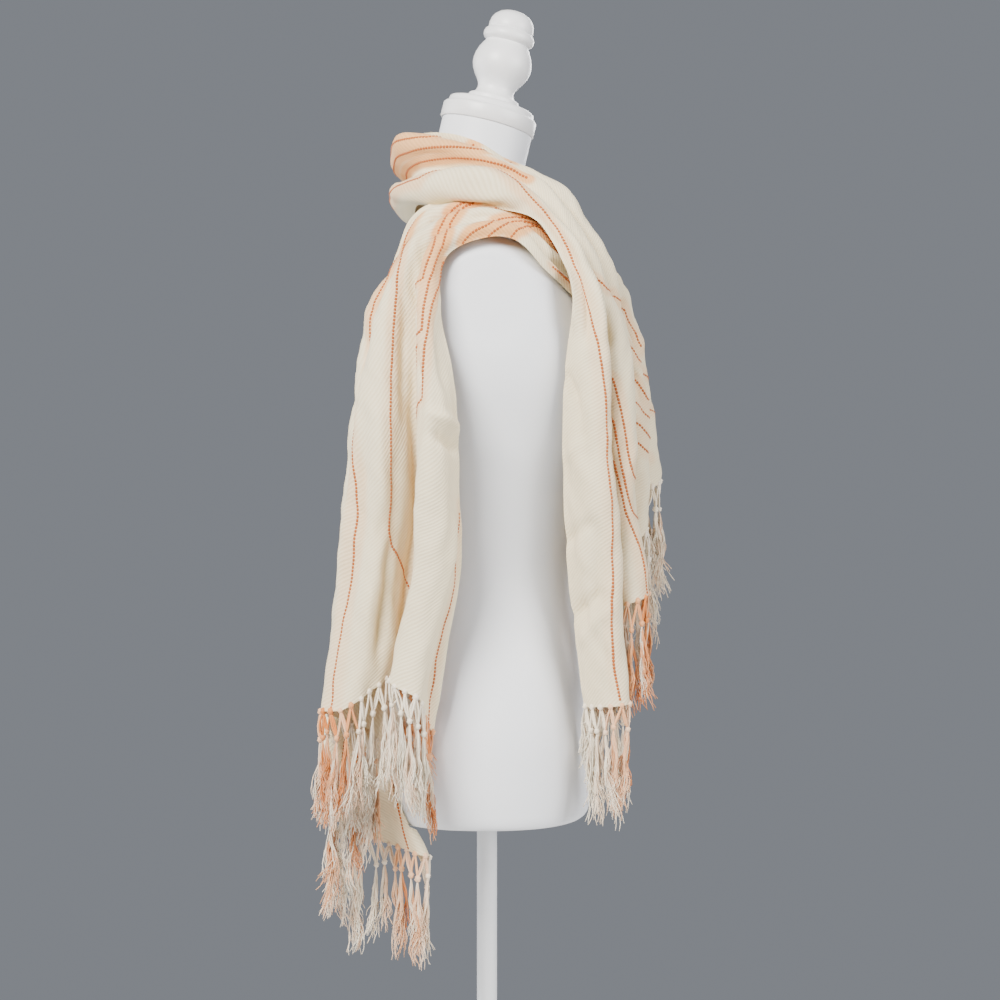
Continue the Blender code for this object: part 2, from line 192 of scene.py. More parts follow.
def band_faces(index: Array) -> list[list[int]]:
    """Join closed rings of vertices by faces of four corners.

    Args:
        index: vertex numbers, whose last axis goes round a ring and the one before it from ring to ring.

    Returns:
        The faces.
    """
    after = np.roll(index, -1, axis=-1)
    corners = [index[..., :-1, :], after[..., :-1, :], after[..., 1:, :], index[..., 1:, :]]
    return np.stack(corners, -1).reshape(-1, 4).tolist()


# ---- finishes


@dataclass(frozen=True)
class TwillCloth:
    """Light cotton twill, woven, washed and soft: matt, with fine diagonal ribs that catch the light."""

    ivory: str = "#FCEFCF"
    # The shade colour is painted shade in the rib grooves and between yarns, where the bump sinks, and a
    # random mottle besides.
    shade: str = "#E2CFA6"
    peach: str = "#FBC494"
    # Ribs and yarns are drawn coarser than woven, where they would be too fine to show in the render.
    rib_mm: float = 2.8
    yarn_mm: float = 1.3
    wear_mm: float = 41.67
    yarn_share: float = 0.35
    wear_share: float = 0.3

    def make(self) -> bpy.types.Material:
        """Build the material. It reads the weave map, in metres, and how strongly the ground is dyed."""
        made, shader = new_material("cotton_twill", {"Roughness": 0.88, "Sheen Weight": 0.18,
                                                     "Sheen Roughness": 0.45, "IOR": 1.47})
        tree = made.node_tree
        weave = add_node(tree, "UVMap", {"uv_map": "weave"}).outputs["UV"]
        # A diagonal wave repeats every 2 pi / (10 x scale) of the sum of both coordinates.
        scale = 2 * math.pi / (10 * math.sqrt(2) * self.rib_mm * MM)
        ribs = add_node(tree, "TexWave", {"wave_type": "BANDS", "bands_direction": "DIAGONAL"},
                        {"Scale": scale, "Distortion": 1.1, "Detail": 2.0, "Detail Scale": 0.6},
                        {"Vector": weave}).outputs["Fac"]
        yarn = add_node(tree, "TexNoise", None, {"Scale": 1 / (self.yarn_mm * MM), "Detail": 2.0},
                        {"Vector": weave}).outputs["Fac"]
        wear = add_node(tree, "TexNoise", None, {"Scale": 1 / (self.wear_mm * MM), "Detail": 3.0},
                        {"Vector": weave}).outputs["Fac"]
        weave_height = add_node(tree, "Mix", {"data_type": "FLOAT"}, {0: self.yarn_share},
                                {2: ribs, 3: yarn}).outputs[0]
        groove_shade_and_mottle = add_node(tree, "Mix", {"data_type": "FLOAT"}, {0: self.wear_share},
                        {2: weave_height, 3: wear}).outputs[0]
        # Painted shade: the cream turns towards the shade colour where the weave's bump is low, on top of the
        # random wear mottle.
        cream = add_node(tree, "Mix", {"data_type": "RGBA"},
                         {6: linear(self.shade), 7: linear(self.ivory)}, {0: groove_shade_and_mottle}).outputs[2]
        dyed = add_node(tree, "Attribute", {"attribute_name": "ground"}).outputs["Fac"]
        peach = add_node(tree, "Mix", {"data_type": "RGBA", "blend_type": "MULTIPLY"},
                         {0: 1.0, 7: linear(self.peach)}, {6: cream}).outputs[2]
        colour = add_node(tree, "Mix", {"data_type": "RGBA"}, None,
                          {0: dyed, 6: cream, 7: peach}).outputs[2]
        bump = add_node(tree, "Bump", None, {"Strength": 0.6, "Distance": 0.0006},
                        {"Height": weave_height}).outputs["Normal"]
        tree.links.new(colour, shader.inputs["Base Color"])
        tree.links.new(bump, shader.inputs["Normal"])
        return made


@dataclass(frozen=True)
class StripeYarn:
    """Thick dyed cotton yarn in short floats over the twill: orange, mottled with a deeper orange that lies
    in the low places of its bump, as painted shade.
    """

    orange: str = "#CB6A18"
    deep: str = "#964A0E"
    mottle_mm: float = 2.381

    def make(self) -> bpy.types.Material:
        """Build the material on object coordinates."""
        made, shader = new_material("dyed_cotton_yarn", {"Roughness": 0.75, "Sheen Weight": 0.2,
                                                         "IOR": 1.47})
        tree = made.node_tree
        place = add_node(tree, "TexCoord").outputs["Object"]
        mottle = add_node(tree, "TexNoise", None, {"Scale": 1 / (self.mottle_mm * MM), "Detail": 2.0},
                          {"Vector": place}).outputs["Fac"]
        # Painted shade: one noise sets both the bump and the colour, so the yarn turns deep orange in its
        # dents.
        colour = add_node(tree, "Mix", {"data_type": "RGBA"},
                          {6: linear(self.deep), 7: linear(self.orange)}, {0: mottle}).outputs[2]
        bump = add_node(tree, "Bump", None, {"Strength": 0.4, "Distance": 0.0003},
                        {"Height": mottle}).outputs["Normal"]
        tree.links.new(colour, shader.inputs["Base Color"])
        tree.links.new(bump, shader.inputs["Normal"])
        return made


@dataclass(frozen=True)
class FringeYarn:
    """Loose silky yarn, knotted and combed out: ivory, turning peach and orange below the stripes."""

    ivory: str = "#FDF2DC"
    peach: str = "#F6BC8A"
    orange: str = "#DE8436"
    mottle_mm: float = 6.25

    def make(self) -> bpy.types.Material:
        """Build the material. It reads how strongly each thread is dyed."""
        made, shader = new_material("loose_cotton_yarn", {"Roughness": 0.6, "Sheen Weight": 0.3,
                                                          "IOR": 1.47})
        tree = made.node_tree
        dye = add_node(tree, "Attribute", {"attribute_name": "dye"}).outputs["Fac"]
        ramp = add_node(tree, "ValToRGB", None, None, {"Fac": dye})
        stops = ramp.color_ramp.elements
        stops[0].color = linear(self.ivory)
        stops[1].color = linear(self.orange)
        stops.new(0.5).color = linear(self.peach)
        place = add_node(tree, "TexCoord").outputs["Object"]
        mottle = add_node(tree, "TexNoise", None, {"Scale": 1 / (self.mottle_mm * MM), "Detail": 2.0},
                          {"Vector": place}).outputs["Fac"]
        shade = add_node(tree, "MapRange", None, {"To Min": 0.86, "To Max": 1.0}, {"Value": mottle})
        colour = add_node(tree, "Mix", {"data_type": "RGBA", "blend_type": "MULTIPLY"}, {0: 1.0},
                          {6: ramp.outputs["Color"], 7: shade.outputs["Result"]}).outputs[2]
        tree.links.new(colour, shader.inputs["Base Color"])
        return made


@dataclass(frozen=True)
class JerseyCover:
    """White polyester jersey stretched over a moulded form: smooth, with a faint knit and a soft shine."""

    white: str = "#F3F4F7"
    shade: str = "#E9ECF1"
    stitch_mm: float = 1.2
    stretch_mm: float = 142.9
    smoothest: float = 0.42
    roughest: float = 0.58

    def make(self) -> bpy.types.Material:
        """Build the material on object coordinates."""
        made, shader = new_material("white_jersey", {"Sheen Weight": 0.1, "IOR": 1.45})
        tree = made.node_tree
        place = add_node(tree, "TexCoord").outputs["Object"]
        knit = add_node(tree, "TexNoise", None, {"Scale": 1 / (self.stitch_mm * MM), "Detail": 1.0},
                        {"Vector": place}).outputs["Fac"]
        soft = add_node(tree, "TexNoise", None, {"Scale": 1 / (self.stretch_mm * MM), "Detail": 2.0},
                        {"Vector": place}).outputs["Fac"]
        colour = add_node(tree, "Mix", {"data_type": "RGBA"},
                          {6: linear(self.shade), 7: linear(self.white)}, {0: soft}).outputs[2]
        rough = add_node(tree, "MapRange", None, {"To Min": self.smoothest, "To Max": self.roughest},
                         {"Value": soft})
        bump = add_node(tree, "Bump", None, {"Strength": 0.12, "Distance": 0.0003},
                        {"Height": knit}).outputs["Normal"]
        tree.links.new(colour, shader.inputs["Base Color"])
        tree.links.new(rough.outputs["Result"], shader.inputs["Roughness"])
        tree.links.new(bump, shader.inputs["Normal"])
        return made


@dataclass(frozen=True)
class SatinPaint:
    """Satin paint, sprayed over turned wood or steel: even and pale, with a soft gloss and a faint ripple."""

    name: str
    colour: str
    worn: str
    roughness: float
    smoother: float = 0.06
    rougher: float = 0.08
    ripple_mm: float = 9.0
    wear_mm: float = 90.9

    def make(self) -> bpy.types.Material:
        """Build the material on object coordinates."""
        made, shader = new_material(self.name, {"IOR": 1.5, "Coat Weight": 0.15, "Coat Roughness": 0.3})
        tree = made.node_tree
        place = add_node(tree, "TexCoord").outputs["Object"]
        ripple = add_node(tree, "TexNoise", None, {"Scale": 1 / (self.ripple_mm * MM), "Detail": 2.0},
                          {"Vector": place}).outputs["Fac"]
        broad = add_node(tree, "TexNoise", None, {"Scale": 1 / (self.wear_mm * MM), "Detail": 3.0},
                         {"Vector": place}).outputs["Fac"]
        colour = add_node(tree, "Mix", {"data_type": "RGBA"},
                          {6: linear(self.worn), 7: linear(self.colour)}, {0: broad}).outputs[2]
        rough = add_node(tree, "MapRange", None, {"To Min": self.roughness - self.smoother,
                                                  "To Max": self.roughness + self.rougher}, {"Value": broad})
        bump = add_node(tree, "Bump", None, {"Strength": 0.08, "Distance": 0.0004},
                        {"Height": ripple}).outputs["Normal"]
        tree.links.new(colour, shader.inputs["Base Color"])
        tree.links.new(rough.outputs["Result"], shader.inputs["Roughness"])
        tree.links.new(bump, shader.inputs["Normal"])
        return made


# ---- the torso's shape

RING_COLUMNS = ("height", "back", "front", "half_width", "squareness", "tilt")
RINGS = (
    (490.0, -108.0, 106.0, 158.0, 2.4, 0.0),
    (530.0, -117.0, 108.0, 164.0, 2.4, 0.0),
    (580.0, -118.0, 106.0, 164.0, 2.4, 0.0),
    (640.0, -106.0, 99.0, 150.0, 2.4, 0.0),
    (700.0, -91.0, 92.0, 127.0, 2.4, 0.0),
    (750.0, -85.0, 91.0, 118.0, 2.4, 0.0),
    (810.0, -92.0, 102.0, 127.0, 2.4, 0.0),
    (870.0, -104.0, 121.0, 147.0, 2.4, 0.0),
    (925.0, -112.0, 129.0, 168.0, 2.4, 0.0),
    (970.0, -112.0, 124.0, 181.0, 2.3, 0.0),
    (1010.0, -106.0, 112.0, 188.0, 2.2, 0.0),
    (1040.0, -96.0, 98.0, 186.0, 2.1, 0.0),
    (1062.0, -84.0, 82.0, 170.0, 2.0, 0.0),
    (1082.0, -74.0, 66.0, 136.0, 2.0, 2.0),
    (1100.0, -68.0, 52.0, 98.0, 2.0, 6.0),
    (1118.0, -66.0, 41.0, 68.0, 2.0, 10.0),
    (1140.0, -64.0, 35.0, 53.0, 2.0, 14.0),
    (1170.0, -56.0, 40.0, 48.5, 2.0, 14.0),
    (1205.0, -48.0, 48.0, 48.0, 2.0, 14.0),
)


def column(rows: tuple, columns: tuple[str, ...], name: str) -> Array:
    """One named column of a table."""
    return np.array([row[columns.index(name)] for row in rows], float)


def between_rows(values: Array, where: Array) -> Array:
    """Read a table's column between its rows, on a smooth curve.

    Args:
        values: the column.
        where: fractional rows.

    Returns:
        A value for each of them.
    """
    where = np.clip(np.asarray(where, float), 0.0, len(values) - 1.0)
    row = np.minimum(where.astype(int), len(values) - 2)
    part = where - row
    before, first = values[np.maximum(row - 1, 0)], values[row]
    second, after = values[row + 1], values[np.minimum(row + 2, len(values) - 1)]
    square, cube = part * part, part**3
    return (
        (2 * cube - 3 * square + 1) * first
        + (cube - 2 * square + part) * (second - before) / 2
        + (3 * square - 2 * cube) * second
        + (cube - square) * (after - first) / 2
    )


@dataclass(frozen=True)
class TorsoShape:
    """The form's torso and neck as level rings, each a squared ellipse cut flat at the arm plates."""

    arm_plate: float = 176.0
    plate_round: float = 12.0
    plate_dish: float = 1.6
    dish_edge: float = 8.0
    furthest_push: float = 25.0
    # The step over which the shape's slope is taken, and how far under the rim points are left alone.
    probe: float = 0.5
    under_rim: float = 2.0
    least_slope: float = 1e-4

    def level(self, points: Array) -> Array:
        """How far points stand out from the torso's middle.

        Args:
            points: points in millimetres.

        Returns:
            A share of the torso's own reach for each: 1 on its surface.
        """
        heights = column(RINGS, RING_COLUMNS, "height")
        back, front, half_width, squareness = (
            np.interp(points[..., 2], heights, column(RINGS, RING_COLUMNS, name))
            for name in ("back", "front", "half_width", "squareness")
        )
        reach = np.abs((points[..., 0] - (back + front) / 2) / ((front - back) / 2)) ** squareness
        reach = reach + np.abs(points[..., 1] / half_width) ** squareness
        return reach ** (1 / squareness)

    def clear(self, points: Array, gap: float, passes: int = 4) -> Array:
        """Move points out of the torso.

        Args:
            points: points in millimetres.
            gap: the least distance that they keep from it.
            passes: how often they are moved.

        Returns:
            The moved points.
        """
        points = points.copy()
        probes = self.probe * np.eye(3)
        for _ in range(passes):
            slopes = [self.level(points + probe) - self.level(points - probe) for probe in probes]
            slope = np.stack(slopes, -1) / (2 * self.probe)
            steepness = np.maximum(np.linalg.norm(slope, axis=-1), self.least_slope)
            distance = (self.level(points) - 1.0) / steepness
            way = slope / steepness[..., None]
            beside = np.abs(points[..., 1]) - self.arm_plate
            on_plate = beside > distance
            way[on_plate] = 0.0
            way[on_plate, 1] = np.sign(points[on_plate, 1])
            short = np.clip(gap - np.where(on_plate, beside, distance), 0.0, self.furthest_push)
            short[points[..., 2] < RINGS[0][0] - self.under_rim] = 0.0
            points += short[..., None] * way
        return points

    def ring(self, row: float, sides: int) -> Array:
        """One ring of the smooth torso.

        Args:
            row: a fractional row of the table of rings.
            sides: how many points the ring has.

        Returns:
            Its points in millimetres.
        """
        height, back, front, half_width, squareness, tilt = (
            float(between_rows(column(RINGS, RING_COLUMNS, name), np.array(row)))
            for name in RING_COLUMNS
        )
        angle = np.linspace(0.0, 2 * math.pi, sides, endpoint=False)
        forward = np.sign(np.cos(angle)) * np.abs(np.cos(angle)) ** (2 / squareness)
        left = np.sign(np.sin(angle)) * np.abs(np.sin(angle)) ** (2 / squareness) * half_width
        depth = forward * (front - back) / 2
        lean = math.radians(tilt)
        # The plate's edge is a soft round, and its middle is dished a little.
        out = np.abs(left)
        blend = np.clip(0.5 + 0.5 * (self.arm_plate - out) / self.plate_round, 0.0, 1.0)
        flat = self.arm_plate * (1 - blend) + out * blend - self.plate_round * blend * (1 - blend)
        flat -= self.plate_dish * smooth_step((out - self.arm_plate) / self.dish_edge)
        forward_place = (front + back) / 2 + depth * math.cos(lean)
        return np.stack([forward_place, np.sign(left) * flat, height - depth * math.sin(lean)], -1)


# ---- the scarf's path and folds

GUIDE_COLUMNS = (
    "near_x", "near_y", "near_z", "mid_x", "mid_y", "mid_z", "far_x", "far_y", "far_z",
    "width", "folds", "turn", "lean",
)
GUIDE = (
    (-56, -162, 440, -84, -148, 440, -72, -112, 440, 430, 3.0, 0.06, 20),
    (-54, -170, 560, -88, -154, 560, -102, -108, 560, 430, 3.0, 0.06, 20),
    (-38, -168, 680, -76, -152, 680, -90, -104, 680, 420, 3.0, 0.05, 20),
    (-22, -168, 790, -68, -152, 790, -86, -98, 790, 390, 3.0, 0.04, 18),
    (-28, -184, 900, -72, -166, 900, -102, -96, 900, 330, 3.0, 0.04, 14),
    (-42, -182, 985, -74, -162, 985, -100, -92, 985, 250, 3.0, 0.04, 8),
    (-44, -181, 1032, -66, -156, 1048, -84, -92, 1056, 185, 3.1, 0.06, 4),
    (-22, -181, 1058, -32, -140, 1084, -42, -94, 1098, 142, 3.3, 0.08, 0),
    (24, -179, 1065, 18, -136, 1087, 12, -96, 1104, 132, 3.5, 0.08, 0),
    (60, -170, 1034, 58, -130, 1056, 50, -90, 1080, 125, 3.5, 0.08, 0),
    (104, -98, 998, 90, -76, 1032, 66, -54, 1072, 125, 3.4, 0.06, 0),
    (127, -20, 986, 102, -14, 1032, 62, -8, 1080, 140, 3.3, 0.04, 0),
    (115, 54, 1006, 90, 54, 1050, 54, 50, 1102, 150, 3.1, 0.02, 0),
    (66, 112, 1064, 48, 98, 1098, 24, 74, 1130, 142, 2.8, 0.00, 0),
    (-6, 114, 1104, -16, 102, 1130, -22, 72, 1152, 136, 2.5, 0.00, 0),
    (-52, 66, 1116, -64, 64, 1142, -54, 46, 1168, 135, 2.3, 0.00, 0),
    (-66, 0, 1122, -78, 0, 1146, -68, 0, 1174, 135, 2.2, 0.00, 0),
    (-50, -66, 1126, -62, -66, 1150, -52, -46, 1172, 135, 2.2, 0.00, 0),
    (-8, -104, 1126, -12, -100, 1144, -12, -66, 1160, 132, 2.3, 0.00, 0),
    (32, -122, 1108, 36, -102, 1124, 32, -60, 1138, 140, 2.5, 0.02, 0),
    (60, -148, 1068, 80, -106, 1084, 78, -42, 1104, 180, 2.9, 0.04, 2),
    (76, -163, 1012, 114, -110, 1022, 127, -20, 1036, 245, 3.3, 0.05, 4),
    (66, -156, 940, 120, -106, 945, 140, -2, 950, 350, 3.7, 0.05, 8),
    (58, -140, 840, 106, -94, 840, 126, 10, 840, 450, 4.0, 0.05, 12),
    (64, -128, 730, 102, -82, 730, 114, 10, 730, 480, 4.0, 0.05, 12),
    (80, -114, 600, 114, -74, 600, 122, 4, 600, 490, 4.0, 0.05, 12),
)

# How the laid cloth differs from the plain guide: the near lobe's shift forwards, and the height of its
# folds as a share of what the cloth's width gives.
SETTLE_COLUMNS = ("row", "near_dx", "height")
SETTLE = (
    (0.0, 9.0, 1.0),
    (2.2, 8.0, 1.0),
    (3.2, 1.0, 1.0),
    (5.0, 0.0, 0.95),
    (5.9, 0.0, 0.72),
    (7.0, 0.0, 0.95),
    (19.0, 0.0, 1.0),
    (19.7, 2.0, 0.72),
    (20.4, 4.0, 0.78),
    (21.1, 7.0, 0.72),
    (21.8, 9.0, 0.88),
    (22.6, 11.0, 1.04),
    (23.5, 12.0, 1.02),
    (25.0, 12.0, 1.0),
)

# Local shifts of the laid cloth, one row each: the guide row at the middle and how many rows it reaches,
# the share of the width at the middle and how far across it reaches, and the way that the cloth lies off
# its plain guide in X, Y and Z.
SHIFTS = (
    (16.6, 0.90, 0.80, 0.18, -3.0, 0.0, 8.0),
    (16.5, 0.90, 0.08, 0.18, 0.0, 0.0, 6.0),
    (18.5, 0.75, 0.85, 0.30, 0.0, 0.0, -12.0),
    (18.7, 0.85, 0.00, 0.26, 2.0, -7.0, -17.0),
    (23.0, 1.60, 0.13, 0.05, 9.0, 0.0, 0.0),
    (8.40, 1.10, 0.95, 0.25, 0.0, -2.0, 9.0),
    (17.3, 0.50, 0.00, 0.20, 2.0, -3.0, -9.0),
    (6.30, 0.70, 0.95, 0.25, -3.0, 0.0, 8.0),
    (0.00, 1.50, 1.00, 0.15, 37.0, -22.0, 0.0),
    (20.9, 0.95, 0.62, 0.36, -12.0, 0.0, -3.0),
    (23.3, 0.60, 0.95, 0.30, 12.0, 0.0, 0.0),
    (24.1, 0.80, 0.38, 0.10, 8.0, 0.0, 0.0),
    (3.00, 1.60, 0.42, 0.08, -1.0, -3.0, 0.0),
    (6.00, 0.55, 0.86, 0.25, 13.0, 0.0, 0.0),
    (5.30, 0.50, 0.86, 0.22, 5.0, 0.0, 0.0),
    (4.35, 0.45, 0.84, 0.16, 12.0, 0.0, 0.0),
    (1.70, 0.60, 0.68, 0.30, 8.0, 0.0, 0.0),
    (19.7, 0.40, 0.86, 0.18, 11.0, 0.0, 2.0),
    (21.6, 0.40, 0.95, 0.22, -10.0, 0.0, 0.0),
    (22.8, 0.50, 0.87, 0.16, 5.0, 0.0, 0.0),
    (16.8, 0.40, 0.76, 0.07, -9.0, 0.0, 3.0),
    (16.0, 0.90, 0.25, 0.14, 0.0, 0.0, 7.0),
)

# Soft troughs (less than 0) and ridges, one row each: where each starts and ends, as a guide row and a
# share of the width, its half width and its height.
CREASES = (
    (20.35, 0.010, 21.60, 0.030, 5.5, 7.0),
    (20.60, 0.055, 21.75, 0.070, 5.0, -7.0),
    (20.60, 0.115, 22.10, 0.110, 5.5, 6.0),
    (21.60, 0.300, 24.60, 0.295, 6.0, -9.0),
    (22.00, 0.120, 24.60, 0.120, 5.0, 3.0),
    (5.30, 0.340, 1.00, 0.345, 6.0, -9.0),
    (5.60, 0.130, 1.40, 0.135, 5.0, 3.5),
    (19.40, 0.100, 21.00, 0.060, 4.5, -3.0),
    (19.20, 0.620, 20.90, 0.520, 6.0, -4.0),
    (19.30, 0.760, 21.20, 0.780, 7.0, 4.0),
    (19.50, 0.880, 21.60, 0.860, 7.0, -4.0),
    (4.05, 0.15, 3.80, -0.02, 5.0, 8.5),
    (3.88, 0.15, 3.63, -0.01, 4.5, -7.5),
    (5.55, 0.160, 4.10, 0.172, 4.0, -6.5),
    (4.45, 0.50, 1.50, 0.495, 5.5, -6.5),
    (4.30, 0.53, 1.70, 0.525, 5.0, 3.0),
    (24.28, -0.02, 24.00, 0.09, 5.5, -6.0),
    (24.46, -0.01, 24.12, 0.10, 5.5, 4.5),
    (23.68, -0.01, 23.38, 0.08, 6.0, -4.5),
    (22.90, 0.00, 22.60, 0.07, 6.0, 2.4),
    (21.95, 0.00, 22.30, 0.05, 6.0, -3.4),
    (2.95, 0.42, 1.65, 0.41, 6.5, -7.5),
    (2.60, 0.46, 1.60, 0.45, 6.0, 2.6),
    (22.05, 0.03, 22.95, 0.08, 7.0, -4.0),
    (23.05, 0.02, 24.00, 0.05, 8.0, 4.2),
    (23.20, 0.085, 24.45, 0.055, 7.0, -5.0),
    (24.00, 0.00, 24.60, 0.09, 6.0, -2.6),
    (22.40, 0.34, 23.30, 0.31, 7.0, -4.2),
    (23.20, 0.33, 24.10, 0.36, 8.0, 2.4),
    (21.00, 0.36, 21.80, 0.33, 6.0, -2.5),
    (21.70, 0.62, 22.60, 0.66, 7.0, -4.5),
    (22.70, 0.64, 23.80, 0.60, 7.0, 2.6),
    (22.90, 0.86, 23.60, 0.82, 7.0, -3.0),
    (21.40, 0.90, 22.20, 0.94, 8.0, 2.8),
    (5.30, 0.085, 4.05, 0.05, 7.0, -4.0),
    (3.30, 0.04, 2.10, 0.08, 7.0, 3.6),
    (2.50, 0.05, 1.20, 0.025, 6.0, -4.0),
    (5.20, 0.38, 3.60, 0.375, 6.0, -5.0),
    (4.20, 0.46, 2.90, 0.45, 8.0, 4.0),
    (3.40, 0.49, 2.20, 0.47, 6.0, -2.2),
    (4.40, 0.78, 3.00, 0.82, 7.0, -3.0),
    (3.30, 0.86, 1.80, 0.80, 8.0, 2.6),
    (2.20, 0.94, 0.80, 0.90, 7.0, -2.4),
    (16.20, 0.22, 17.30, 0.17, 5.0, 1.6),
    (16.90, 0.60, 18.30, 0.64, 4.0, -1.6),
    (17.00, 0.46, 18.70, 0.49, 4.5, -2.6),
    (17.60, 0.20, 18.90, 0.13, 4.0, -1.8),
    (15.10, 0.30, 16.30, 0.36, 5.0, -1.8),
    (14.10, 0.62, 15.60, 0.55, 5.0, 1.8),
    (13.20, 0.18, 14.40, 0.24, 5.0, -1.8),
    (12.30, 0.66, 13.40, 0.72, 5.0, -1.8),
    (10.20, 0.30, 11.40, 0.36, 5.0, -1.8),
    (10.80, 0.60, 11.90, 0.55, 5.0, 1.6),
    (8.00, 0.20, 9.20, 0.26, 4.0, 1.4),
    (7.10, 0.34, 8.40, 0.37, 3.5, -1.6),
    (6.10, 0.42, 6.90, 0.36, 4.0, -1.8),
)

